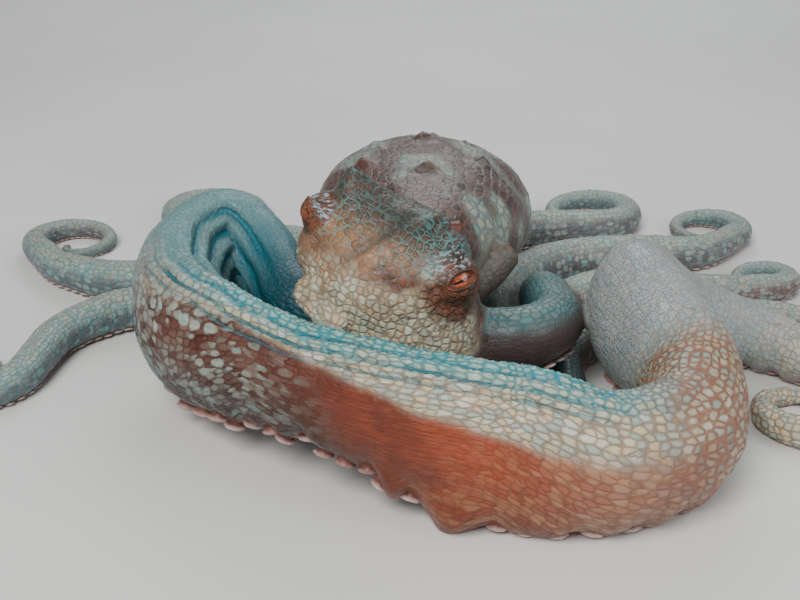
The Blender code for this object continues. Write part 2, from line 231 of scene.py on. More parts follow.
ARM_SINK = 0.04  # share of an arm's height that is pressed flat where it lies down
FINE = 40  # samples between two stations
ARM_SIDES = 28
ARM_STEP = 0.2
REFINE_REACHES = (2.0, 1.45)  # round each eye, where the skin's faces are split
LEAST_SOFT = 0.12  # of the smoothing, away from the joins
JOIN_ROUNDS = 30
LUMP_WIDTH = 1.6  # cm between the soft lumps of the flesh

# Order of the source shells that the skin is drawn over
BODY_SHELLS = ["head", "crown", "mantle", "siphon", "web"]
SHELLS = list(ARMS) + BODY_SHELLS
HEAD, CROWN, MANTLE, SIPHON, WEB = (SHELLS.index(name) for name in BODY_SHELLS)
FRONT_ARM = SHELLS.index("right_2")

EYE_RADIUS = 0.85
LID = 0.13  # thickness of skin over the eye
LID_LENGTH = 33.0  # half the opening along the slit, in degrees round the eye
LID_UPPER = 18.0
LID_LOWER = 13.0
EYES = {"left": (EYE_LEFT, 1), "right": (EYE_RIGHT, -1)}
EYE_LOOK = {1: (0.56, 0.62, 0.52), -1: (-0.72, 0.64, 0.26)}  # side, front and top of each look

# Along the front arm, by run from the root in cm
PALE_EDGE = [  # angle of the pale band's lower edge
    (9, 8), (13, 22), (16, 46), (18, 56), (20, 60), (22.5, 55),
    (24.5, 42), (27, 32), (30, 25), (33, 23), (36, 18),
]
CELL_RUNS = [0, 10, 17, 21, 31, 38, 44, 80]
CELL_LENGTHS = [0.30, 0.22, 0.40, 0.41, 0.40, 0.40, 0.34, 0.26]
WIDTH_RUNS = [0, 10, 17, 21, 30, 38, 44, 80]
CELL_WIDTHS = [0.26, 0.19, 0.34, 0.19, 0.20, 0.36, 0.32, 0.24]
VIEW_RISE = math.radians(25.0)
FURROW_STEPS = (0.42, 0.80)  # between furrows seen from the front, and on the hidden inner side
RUST_PATCHES = [(1.10, 0.30), (1.55, 0.15), (1.95, 0.45), (0.75, 0.55)]  # side, top on the head
LOWER_LOBES = [  # run, reach along the edge, height
    (22.0, 0.5, 0.14),
    (24.4, 0.6, 0.18),
    (26.9, 0.55, 0.40),
    (29.0, 0.75, 0.60),
    (31.8, 0.6, 0.2),
]
MANTLE_POINTS = [  # x, y, width, height
    (1.2, 7.2, 0.42, 0.42),
    (-1.6, 9.8, 0.40, 0.40),
    (3.6, 9.8, 0.40, 0.40),
    (1.1, 12.6, 0.42, 0.40),
    (-0.2, 5.6, 0.26, 0.20),
    (2.6, 5.9, 0.26, 0.18),
    (-2.3, 7.1, 0.24, 0.18),
    (3.1, 7.8, 0.22, 0.16),
    (0.3, 9.3, 0.24, 0.18),
    (2.2, 10.9, 0.24, 0.16),
    (-0.9, 11.8, 0.22, 0.16),
    (3.0, 13.0, 0.22, 0.16),
    (-1.2, 14.2, 0.22, 0.15),
    (1.6, 15.2, 0.24, 0.16),
]
SUCKER_SPLAY = {"right_2": 19.0}  # degrees from the middle of the underside to each row
USUAL_SPLAY = 36.0
SUCKER_PROFILE = [  # (radius, height) out over the rim and down into the cup
    (0.74, -0.5),
    (0.80, 0.05),
    (1.0, 0.34),
    (0.80, 0.50),
    (0.50, 0.30),
    (0.24, -0.02),
]
SUCKER_SIDES = 9
SKY_STRENGTH = 0.26
FILL_SHARE = 0.35  # of the main light's power
BACK_SHARE = 0.40


# ---------------------------------------------------------------- paths and lofts


def unit(rows):
    """Rows scaled to length one."""
    rows = np.asarray(rows, float)
    return rows / np.maximum(np.linalg.norm(rows, axis=-1, keepdims=True), 1e-12)


def ramp(low, high, value):
    """Smooth step from 0 at low to 1 at high; low may be the larger."""
    t = np.clip((value - low) / (high - low), 0.0, 1.0)
    return t * t * (3 - 2 * t)


def past_under(angle):
    """The same angles with those past the underside's middle counted on over the far side."""
    return np.where(angle < -90, angle + 360, angle)


def hump(middle, reach, value):
    """Bell that is 1 at its middle."""
    return np.exp(-(((value - middle) / reach) ** 2))


def smooth_curve(points, count):
    """Centripetal Catmull-Rom curve through the points, count samples to each span."""
    p = np.array(points, float)
    p = np.vstack([2 * p[0] - p[1], p, 2 * p[-1] - p[-2]])
    out = []
    for i in range(1, len(p) - 2):
        knots = [0.0]
        for a, b in zip(p[i - 1 : i + 2], p[i : i + 3]):
            knots.append(knots[-1] + max(np.linalg.norm(b[:3] - a[:3]), 1e-6) ** 0.5)
        t0, t1, t2, t3 = knots
        for t in np.linspace(t1, t2, count, endpoint=False):
            a1 = ((t1 - t) * p[i - 1] + (t - t0) * p[i]) / (t1 - t0)
            a2 = ((t2 - t) * p[i] + (t - t1) * p[i + 1]) / (t2 - t1)
            a3 = ((t3 - t) * p[i + 1] + (t - t2) * p[i + 2]) / (t3 - t2)
            b1 = ((t2 - t) * a1 + (t - t0) * a2) / (t2 - t0)
            b2 = ((t3 - t) * a2 + (t - t1) * a3) / (t3 - t1)
            out.append(((t2 - t) * b1 + (t - t1) * b2) / (t2 - t1))
    out.append(p[-2])
    return np.array(out)


def add_curl(path, curl):
    """Extends a path of (x, y, lift, height, width) with a flat spiral to the arm's tip."""
    turns, first, last, side = curl
    ahead = path[-1, :2] - path[-2, :2]
    heading = math.atan2(ahead[1], ahead[0])
    x, y = path[-1, :2]
    height, width = path[-1, 3:5]
    steps = int(turns * 72)
    turn = 2 * math.pi * turns / steps
    radii = [last + (first - last) * (1 - (k + 0.5) / steps) for k in range(steps)]
    total = sum(radii) * turn
    run = 0.0
    rows = []
    for radius in radii:
        heading += side * turn
        x += math.cos(heading) * radius * turn
        y += math.sin(heading) * radius * turn
        run += radius * turn
        left = max(1 - run / total, 0.0) ** 0.85
        size = (ARM_TIP + (height - ARM_TIP) * left, ARM_TIP + (width - ARM_TIP) * left)
        rows.append((x, y, path[-1, 2], *size))
    return np.vstack([path, rows])


class Arm:
    """Even rings along one arm: middles, frames, half sizes and run from the root, in cm."""

    def __init__(self, stations, curl, step):
        path = add_curl(smooth_curve(stations, FINE), curl)
        lift = np.maximum(path[:, 2], 0.0)
        middle = lift + path[:, 3] / 2 * (1 - ARM_SINK * ramp(0.5, 0.0, lift))
        rows = np.column_stack([path[:, :2], middle, path[:, 3:5]])
        lengths = np.linalg.norm(np.diff(rows[:, :3], axis=0), axis=1)
        run = np.concatenate([[0.0], np.cumsum(lengths)])
        self.run = np.linspace(0.0, run[-1], int(run[-1] / step) + 1)
        rows = np.column_stack([np.interp(self.run, run, column) for column in rows.T])
        self.middle = rows[:, :3]
        self.half_height = rows[:, 3] / 2
        self.half_width = rows[:, 4] / 2
        ahead = unit(np.gradient(self.middle, axis=0))
        window = np.hanning(2 * int(1.3 / self.run[1]) + 3)[1:-1]
        ends = ((len(window) // 2,) * 2, (0, 0))
        ahead = np.pad(ahead, ends, mode="edge")
        self.ahead = unit(np.column_stack([np.convolve(k, window, "valid") for k in ahead.T]))
        self.side = unit(np.column_stack([self.ahead[:, 1], -self.ahead[:, 0], 0 * self.run]))
        self.up = np.cross(self.side, self.ahead)
        self.step = self.run[1]

    def rings(self, sides):
        """The arm's rings, flattened below, with none under the floor."""
        angle = 2 * math.pi * (np.arange(sides) + 0.5) / sides
        rise = np.sin(angle)
        across = np.cos(angle) * np.where(rise < 0, 1 - 0.16 * rise**2, 1.0)
        rings = (
            self.middle[:, None]
            + self.side[:, None] * (across[None, :] * self.half_width[:, None])[..., None]
            + self.up[:, None] * (rise[None, :] * self.half_height[:, None])[..., None]
        )
        rings[..., 2] = np.maximum(rings[..., 2], 0.0)
        return rings

    def at(self, name, run):
        """A quantity along the arm at any run."""
        values = getattr(self, name)
        if values.ndim == 1:
            return np.interp(run, self.run, values)
        return np.column_stack([np.interp(run, self.run, column) for column in values.T])

    def locate(self, points, ring):
        """Run, and offsets to the side and up, of points near a ring."""
        ring = np.clip(ring, 0, len(self.run) - 2)
        before = np.einsum("ij,ij->i", points - self.middle[ring], self.ahead[ring])
        after = np.einsum("ij,ij->i", points - self.middle[ring + 1], self.ahead[ring + 1])
        share = before / np.where(np.abs(before - after) < 1e-9, 1e-9, before - after)
        run = self.run[ring] + np.clip(share, -1.0, 2.0) * self.step
        away = points - self.at("middle", run)
        side = np.einsum("ij,ij->i", away, unit(self.at("side", run)))
        up = np.einsum("ij,ij->i", away, unit(self.at("up", run)))
        return run, side, up


def ellipse_rings(middles, across, ups, half_widths, half_heights, sides):
    """Rings of points round each middle, in its own plane."""
    angle = 2 * math.pi * (np.arange(sides) + 0.5) / sides
    return (
        middles[:, None]
        + across[:, None] * (np.cos(angle)[None, :] * half_widths[:, None])[..., None]
        + ups[:, None] * (np.sin(angle)[None, :] * half_heights[:, None])[..., None]
    )


def close_rings(rings):
    """Vertices and faces of a closed shell through equal rings."""
    count, sides = rings.shape[:2]
    verts = np.vstack([rings.reshape(-1, 3), rings[0].mean(0), rings[-1].mean(0)])
    start, end = count * sides, count * sides + 1
    faces = []
    for i in range(count - 1):
        a, b = i * sides, (i + 1) * sides
        for k in range(sides):
            n = (k + 1) % sides
            faces.append((a + k, a + n, b + n, b + k))
    for k in range(sides):
        n = (k + 1) % sides
        faces.append((start, k, n))
        faces.append((end, (count - 1) * sides + n, (count - 1) * sides + k))
    return verts, faces


def head_place(side, front, top):
    """Point of the head, from its own axes."""
    local = np.stack(np.broadcast_arrays(side, front, top), axis=-1)
    return EYE_MIDDLE + local @ HEAD_AXES


def head_local(points):
    """Side, front and top of points in the head's own axes."""
    return (points - EYE_MIDDLE) @ np.linalg.inv(HEAD_AXES)


def head_shell(segments, rings):
    """Rounded head raised into a brow over each eye."""
    rows = []
    for i in range(rings + 1):
        polar = math.pi * i / rings
        for k in range(segments):
            turn = 2 * math.pi * k / segments
            rows.append(
                (math.sin(polar) * math.cos(turn), math.sin(polar) * math.sin(turn), math.cos(polar))
            )
    local = HEAD_CENTRE + np.array(rows) * HEAD_RADII
    for sign, lift in BROW_LIFT.items():
        away = local - np.array((sign * BROW[0], 0.0, BROW[1]))
        reach = np.exp(-np.sum(away**2, axis=1) / BROW[2] ** 2)
        local += np.outer(lift * reach, (0.35 * sign, 0.1, 1.0))
    return close_rings(head_place(*local.T).reshape(rings + 1, segments, 3))


def ball_shell(middle, radii, axes, segments=32, rings=20):
    """Closed ball with its own radii along three axes."""
    polar = np.linspace(0, math.pi, rings + 1)[:, None]
    turn = np.linspace(0, 2 * math.pi, segments, endpoint=False)[None, :]
    rows = np.stack(
        [np.sin(polar) * np.cos(turn), np.sin(polar) * np.sin(turn), np.cos(polar) + 0 * turn], axis=-1
    )
    return close_rings(middle + (rows * radii) @ axes)


def level_shell(table, count):
    """Level rings of (z, x, y, half width, half depth), turned as the head is."""
    rows = smooth_curve(table, count)
    middles = rows[:, [1, 2, 0]]
    across = unit([HEAD_AXES[0][0], HEAD_AXES[0][1], 0.0]) + 0 * middles
    back = -HEAD_AXES[1] + 0 * middles
    return close_rings(ellipse_rings(middles, across, back, rows[:, 3], rows[:, 4], 64))


def fold_shell():
    """The rolled fold of skin at the foot of the head."""
    rows = smooth_curve(HEAD_FOLD, 10)
    ahead = unit(np.gradient(rows[:, :3], axis=0))
    across = unit(np.cross(ahead, (0.2, 1.0, 0.3)))
    up = np.cross(across, ahead)
    return close_rings(ellipse_rings(rows[:, :3], across, up, rows[:, 3], rows[:, 3], 16))


def mantle_shell():
    """The body sac, through its stations."""
    rows = smooth_curve(MANTLE_STATIONS, 12)
    middles = rows[:, :3]
    ahead = unit(np.gradient(middles, axis=0))
    across = unit(np.column_stack([ahead[:, 1], -ahead[:, 0], 0 * ahead[:, 0]]))
    up = np.cross(across, ahead)
    return close_rings(ellipse_rings(middles, across, up, rows[:, 3], rows[:, 4], 64))


def siphon_shell():
    """Funnel with an open bore: out along its wall, over the lip and back inside."""
    path = smooth_curve([(*p, r) for p, r in zip(SIPHON_PATH, SIPHON_OUTER)], 10)
    lip = unit(path[-1, :3] - path[-2, :3])
    out = [(*row[:3], row[3]) for row in path]
    out.append((*(path[-1, :3] + 0.10 * lip), 0.62))
    for along, radius in ((0.06, 0.48), (-0.1, SIPHON_BORE), (-0.6, 0.36), (-1.0, 0.28)):
        out.append((*(path[-1, :3] + along * lip), radius))
    rows = np.array(out)
    middles = rows[:, :3]
    across = unit([lip[1], -lip[0], 0.0]) + 0 * middles
    up = np.cross(across, lip + 0 * middles)
    return close_rings(ellipse_rings(middles, across, up, rows[:, 3], rows[:, 3], 28))


def web_shell(first, last):
    """Skin stretched between the bases of two neighbouring arms, thinner towards its edge."""
    run = np.linspace(0.5, WEB_REACH, 16)
    start, end = first.at("middle", run), last.at("middle", run)
    heights = 0.13 + 0.9 * (1 - run / WEB_REACH) ** 1.4
    up = np.array((0.0, 0.0, 1.0)) + 0 * start
    widths = np.linalg.norm(end - start, axis=1) / 2
    return close_rings(ellipse_rings((start + end) / 2, unit(end - start), up, widths, heights, 24))


# ---------------------------------------------------------------- the drawn-over skin


def source_shells(arms):
    """Every shell of the body joined, with the shell and ring that each face belongs to."""
    verts, faces, shell_of, ring_of = [], [], [], []

    def add(shell, made, sides):
        base = sum(len(rows) for rows in verts)
        verts.append(made[0])
        for i, face in enumerate(made[1]):
            faces.append(tuple(base + k for k in face))
            shell_of.append(shell)
            ring_of.append(i // sides)

    for index, arm in enumerate(arms.values()):
        add(index, close_rings(arm.rings(ARM_SIDES)), ARM_SIDES)
    add(HEAD, head_shell(96, 56), 96)
    for place, sign in EYES.values():
        add(HEAD, ball_shell(head_place(*place), np.full(3, EYE_RADIUS + LID), HEAD_AXES), 32)
        for inward, front, top, radius in CHEEKS:
            middle = head_place(place[0] - sign * inward, place[1] + front, place[2] + top)
            add(HEAD, ball_shell(middle, np.full(3, radius), HEAD_AXES), 32)
    add(HEAD, level_shell(NECK_RINGS, 8), 64)
    add(HEAD, fold_shell(), 16)
    add(HEAD, ball_shell(np.array(FOLD_ROOT), np.full(3, 0.5), HEAD_AXES), 32)
    add(CROWN, level_shell(CROWN_RINGS, 6), 64)
    add(MANTLE, mantle_shell(), 64)
    add(SIPHON, siphon_shell(), 28)
    for first, last in WEBS:
        add(WEB, web_shell(arms[first], arms[last]), 24)
    return np.vstack(verts), faces, np.array(shell_of), np.array(ring_of)


def mesh_object(name, verts, faces):
    """A new mesh and its object, in the scene."""
    mesh = bpy.data.meshes.new(name)
    mesh.from_pydata(np.asarray(verts).tolist(), [], faces)
    mesh.validate()
    made = bpy.data.objects.new(name, mesh)
    bpy.context.scene.collection.objects.link(made)
    return made


def settle(item):
    """Turns an object's modifiers into its mesh."""
    graph = bpy.context.evaluated_depsgraph_get()
    graph.update()
    mesh = bpy.data.meshes.new_from_object(item.evaluated_get(graph))
    old = item.data
    item.modifiers.clear()
    item.data = mesh
    bpy.data.meshes.remove(old)
    return item


def points_of(mesh):
    """A mesh's vertices as rows."""
    rows = np.empty(len(mesh.vertices) * 3, np.float32)
    mesh.vertices.foreach_get("co", rows)
    return rows.reshape(-1, 3).astype(float)


def place_points(mesh, points):
    """Moves a mesh's vertices to these rows."""
    mesh.vertices.foreach_set("co", np.asarray(points, np.float32).ravel())
    mesh.update()


def normals_of(mesh):
    """A mesh's vertex normals as rows."""
    rows = np.empty(len(mesh.vertices) * 3, np.float32)
    mesh.vertex_normals.foreach_get("vector", rows)
    return rows.reshape(-1, 3).astype(float)


def edges_of(mesh):
    """A mesh's edges as pairs of vertices."""
    rows = np.empty(len(mesh.edges) * 2, np.int32)
    mesh.edges.foreach_get("vertices", rows)
    return rows.reshape(-1, 2)


def spread(values, edges, times, weight=1.0):
    """Averages values over neighbouring vertices, by a weight at each."""
    values = np.array(values, float)
    flat = values.reshape(len(values), -1)
    ends = np.concatenate([edges[:, 0], edges[:, 1]])
    others = np.concatenate([edges[:, 1], edges[:, 0]])
    count = np.maximum(np.bincount(ends, minlength=len(flat)), 1)
    weight = np.broadcast_to(weight, len(flat))
    for _ in range(times):
        for k in range(flat.shape[1]):
            mean = np.bincount(ends, flat[others, k], minlength=len(flat)) / count
            flat[:, k] += (mean - flat[:, k]) * weight
    return flat.reshape(values.shape)


class Shader:
    """A socket of a material's node tree, written with the usual operators."""

    def __init__(self, tree, socket=None):
        self.tree = tree
        self.socket = socket

    def node(self, kind, settings=None, inputs=None, output=0):
        """Adds a node of a type, with its settings first and then its sockets' values or links."""
        node = self.tree.nodes.new(kind)
        for name, value in (settings or {}).items():
            if name == "stops":
                ramp_stops = node.color_ramp.elements
                while len(ramp_stops) < len(value):
                    ramp_stops.new(0.5)
                for stop, (place, colour) in zip(ramp_stops, value):
                    stop.position = place
                    stop.color = colour
            else:
                setattr(node, name, value)
        for name, value in (inputs or {}).items():
            socket = node.inputs[name]
            if isinstance(value, Shader):
                self.tree.links.new(value.socket, socket)
            else:
                socket.default_value = value
        return Shader(self.tree, node.outputs[output])

    def output(self, name):
        """Another output of the same node."""
        return Shader(self.tree, self.socket.node.outputs[name])

    def attribute(self, name):
        """The value that each vertex holds under a name."""
        return self.node("ShaderNodeAttribute", {"attribute_name": name}, output=2)

    def vector(self, name):
        """The vector that each vertex holds under a name."""
        return self.node("ShaderNodeAttribute", {"attribute_name": name}, output=1)

    def place(self):
        """The place in the object's own space, in metres."""
        return self.node("ShaderNodeTexCoord", output=3)

    def noise(self, vector, scale, detail=2.0, rough=0.5):
        """Soft noise, with its colour as a second output."""
        inputs = {"Vector": vector, "Scale": scale, "Detail": detail, "Roughness": rough}
        return self.node("ShaderNodeTexNoise", None, inputs)

    def maths(self, operation, *values):
        """A Math node over values or links."""
        return self.node("ShaderNodeMath", {"operation": operation}, dict(enumerate(values)))

    def __add__(self, other):
        return self.maths("ADD", self, other)

    def __sub__(self, other):
        return self.maths("SUBTRACT", self, other)

    def __mul__(self, other):
        return self.maths("MULTIPLY", self, other)

    def __truediv__(self, other):
        return self.maths("DIVIDE", self, other)

    def __rsub__(self, other):
        return self.maths("SUBTRACT", other, self)

    __radd__ = __add__
    __rmul__ = __mul__

    def between(self, low, high, start=0.0, end=1.0):
        """Smooth step of a value from low to high."""
        names = ("From Min", "From Max", "To Min", "To Max")
        settings = {"interpolation_type": "SMOOTHSTEP"}
        inputs = {"Value": self, **dict(zip(names, (low, high, start, end)))}
        return self.node("ShaderNodeMapRange", settings, inputs)

    def mix(self, first, second):
        """Colour between two, with this value as the share of the second."""
        inputs = {"Factor": self, 6: first, 7: second}
        settings = {"data_type": "RGBA", "clamp_factor": True}
        return self.node("ShaderNodeMix", settings, inputs, output=2)

    def stretch(self, factors):
        """A vector multiplied by a factor along each axis."""
        return self.node("ShaderNodeVectorMath", {"operation": "MULTIPLY"}, {0: self, 1: factors})

    def tint(self, colour, share):
        """This colour multiplied by another, by a share."""
        settings = {"data_type": "RGBA", "blend_type": "MULTIPLY", "clamp_factor": True}
        inputs = {"Factor": share, 6: self, 7: colour}
        return self.node("ShaderNodeMix", settings, inputs, output=2)


# ---------------------------------------------------------------- the skin's form


def refine_near(item, middles, reaches):
    """Splits the faces round each middle once for every reach, so that fine folds can be shaped."""
    for reach in reaches:
        bm = bmesh.new()
        bm.from_mesh(item.data)
        near = [
            edge
            for edge in bm.edges
            if any(
                (edge.verts[0].co - m).length < reach and (edge.verts[1].co - m).length < reach
                for m in middles
            )
        ]
        bmesh.ops.subdivide_edges(bm, edges=near, cuts=1, use_grid_fill=True, smooth=0.0)
        bmesh.ops.triangulate(bm, faces=[face for face in bm.faces if len(face.verts) > 4])
        bm.to_mesh(item.data)
        bm.free()


def eye_axes(sign):
    """The way an eye looks, the line of its slit, and the way over its brow, as rows."""
    look = unit(HEAD_AXES.T @ np.array((EYE_LOOK[sign])))
    slit = unit(np.array((0.0, -1.0, 0.0)) @ HEAD_AXES * -1)
    slit = unit(slit - look * (slit @ look))
    over = np.cross(slit, look) * sign
    return look, slit, unit(over)


class Survey:
    """Where every vertex of the skin lies on the body, measured on the source shells."""

    def __init__(self, points, arms, source):
        verts, faces, shell_of, ring_of = source
        tree = BVHTree.FromPolygons(verts.tolist(), faces)
        hits = [tree.find_nearest(point) for point in points.tolist()]
        index = np.array([hit[2] for hit in hits])
        self.shell = shell_of[index]
        self.run = np.zeros(len(points))
        self.side = np.zeros(len(points))
        self.up = np.zeros(len(points))
        self.half_width = np.ones(len(points))
        self.half_height = np.ones(len(points))
        self.left = np.zeros(len(points))
        for number, arm in enumerate(arms.values()):
            mine = self.shell == number
            run, side, up = arm.locate(points[mine], ring_of[index[mine]])
            self.run[mine], self.side[mine], self.up[mine] = run, side, up
            self.half_width[mine] = arm.at("half_width", run)
            self.half_height[mine] = arm.at("half_height", run)
            self.left[mine] = arm.run[-1] - run
        self.arm = self.shell < len(arms)
        self.angle = np.degrees(
            np.arctan2(self.up / self.half_height, self.side / self.half_width)
        )
        self.head = head_local(points)


def horn_share(survey):
    """Share of the blunt horn over the left eye, and of the dip round it."""
    side, front, top = survey.head.T
    away = np.hypot(side - 2.22, front + 0.02)
    place = ramp(0.9, 1.6, top) * (survey.shell == HEAD)
    return np.exp(-((away / 0.41) ** 4)) * place, hump(0.70, 0.24, away) * place


def shape_head(points, normals, survey):
    """Brow horn, furrows and folds of the head."""
    side, front, top = survey.head.T
    flesh = np.where(survey.shell == HEAD, 1.0, 0.0)
    moved = np.zeros_like(points)
    dip = hump(1.70, 0.45, side) * hump(0.1, 1.0, front) * ramp(1.0, 1.6, top) * flesh
    horn, moat = horn_share(survey)
    moved -= np.outer(0.20 * dip + 0.20 * moat, HEAD_AXES[2])
    horn = horn * (1 + 0.22 * np.sin(side * 17.0) * np.sin(front * 15.0 + 1.0))
    moved += np.outer(horn * 0.27, np.array((0.15, 0.10, 1.0)) @ HEAD_AXES)
    crown = np.exp(-((side + 2.25) ** 2 + (front - 0.1) ** 2) / 0.42**2) * ramp(1.2, 2.0, top)
    moved += np.outer(crown * 0.22 * flesh, np.array((-0.2, 0.1, 1.0)) @ HEAD_AXES)
    along = 0.62 * (side - 0.2) + 0.5 * (top - 1.6) + 0.3 * (front - 0.9)
    across = 0.75 * (side - 0.1) - 0.55 * (top - 1.5) - 0.1
    furrow = hump(0.0, 0.16, across) * hump(0.0, 1.1, along) * ramp(-0.2, 0.4, front)
    moved -= normals * (0.15 * furrow * flesh)[:, None]
    return points + moved, furrow * flesh


def shape_mantle(points, normals, survey):
    """Raised skin points on the mantle's back: four large and a scatter of small ones."""
    place = (survey.shell == MANTLE) * ramp(2.5, 4.0, points[:, 1])
    lift = np.zeros(len(points))
    for x, y, wide, tall in MANTLE_POINTS:
        away = (points[:, 0] - x) ** 2 + (points[:, 1] - y) ** 2
        lift += tall * np.exp(-away / wide**2)
    return points + normals * (lift * place * ramp(0.1, 0.5, normals[:, 2]))[:, None]


def shape_eyelids(points, survey):
    """Opens the lids over each eye, with a rolled edge and wrinkles round them."""
    points = points.copy()
    for place, sign in EYES.values():
        middle = head_place(*place)
        look, slit, over = eye_axes(sign)
        away = points - middle
        distance = np.linalg.norm(away, axis=1)
        near = (distance < 1.75) & (away @ look > 0.05 * distance)
        away, distance = away[near], distance[near]
        along = np.degrees(np.arctan2(away @ slit, away @ look))
        rise = np.degrees(np.arctan2(away @ over, away @ look))
        tall = np.where(rise > 0, LID_UPPER, LID_LOWER)
        ring = np.sqrt((along / LID_LENGTH) ** 2 + (rise / tall) ** 2)
        fade = ramp(3.2, 1.5, ring)
        outer = distance + (EYE_RADIUS + LID - distance) * ramp(2.2, 1.2, ring) * 0.9
        fold = np.cos((ring - 1.12) * 2 * math.pi / 0.42) * np.exp(-np.maximum(ring - 1, 0) / 0.7)
        outer += 0.055 * fold * fade + 0.05 * hump(1.16, 0.14, ring)
        inside = EYE_RADIUS - 0.06 + 0 * ring
        share = ramp(0.9, 1.08, ring)
        radius = inside + (outer - inside) * share
        radius = distance + (radius - distance) * ramp(3.4, 2.4, ring)
        points[near] = middle + away * (radius / distance)[:, None]
    return points


def shape_arms(points, normals, survey):
    """Furrows along the inner top of the front arm, and the lobes of its lower edge."""
    front = survey.shell == FRONT_ARM
    run, angle = survey.run, survey.angle
    turned = past_under(angle)
    reach = ramp(3.0, 6.0, run) * ramp(37.0, 30.0, run)
    tall, deep = survey.half_height * math.cos(VIEW_RISE), survey.half_width * math.sin(VIEW_RISE)
    turn = np.radians(turned)
    below = np.hypot(tall, deep) - tall * np.sin(turn) + deep * np.cos(turn)
    brink = math.pi - np.arctan2(tall, deep)
    behind = (turn - brink) * survey.half_height * 0.8
    hidden = turn > brink
    phase = np.where(hidden, -behind / FURROW_STEPS[1], below / FURROW_STEPS[0])
    phase += 0.14 * np.sin(run * 0.8) + 0.08 * np.sin(run * 2.1 + 1.0)
    band = np.where(hidden, ramp(2.9, 2.2, behind), ramp(1.5, 0.8, below))
    ridge = np.cos(phase * 2 * math.pi)
    swell = 0.8 + 0.2 * np.sin(run * 1.1 + phase * 2.0)
    band = np.where(hidden, band, band * ramp(11.5, 16.0, run))
    share = np.where(front, swell * reach * band, 0.0)
    lift = ridge * share * np.where(hidden, 0.06 + 0.09 * ramp(16.0, 12.0, run), 0.11)
    crests = ramp(0.1, 0.7, ridge) * share * hidden * ramp(16.0, 12.0, run)
    lower = np.where(front, ramp(-15, -45, angle) * ramp(-112, -80, angle), 0.0)
    lobes = sum(tall * hump(place, wide, run) for place, wide, tall in LOWER_LOBES)
    lobes = lobes + 0.07 * np.sin(run * 4.3) * ramp(17, 20, run)
    down = normals * 0.6 - np.array((0.0, 0.0, 1.0))
    points = points + down * (lobes * lower)[:, None]
    return points + normals * lift[:, None], share, np.where(front, phase, 0.5), crests


def near_eyes(points):
    """For each eye: its side, distance from its middle, how far over it and ahead of it."""
    for place, sign in EYES.values():
        look, slit, over = eye_axes(sign)
        away = points - head_place(*place)
        distance = np.maximum(np.linalg.norm(away, axis=1), 1e-6)
        away = away / distance[:, None]
        yield sign, distance, away @ over, away @ look


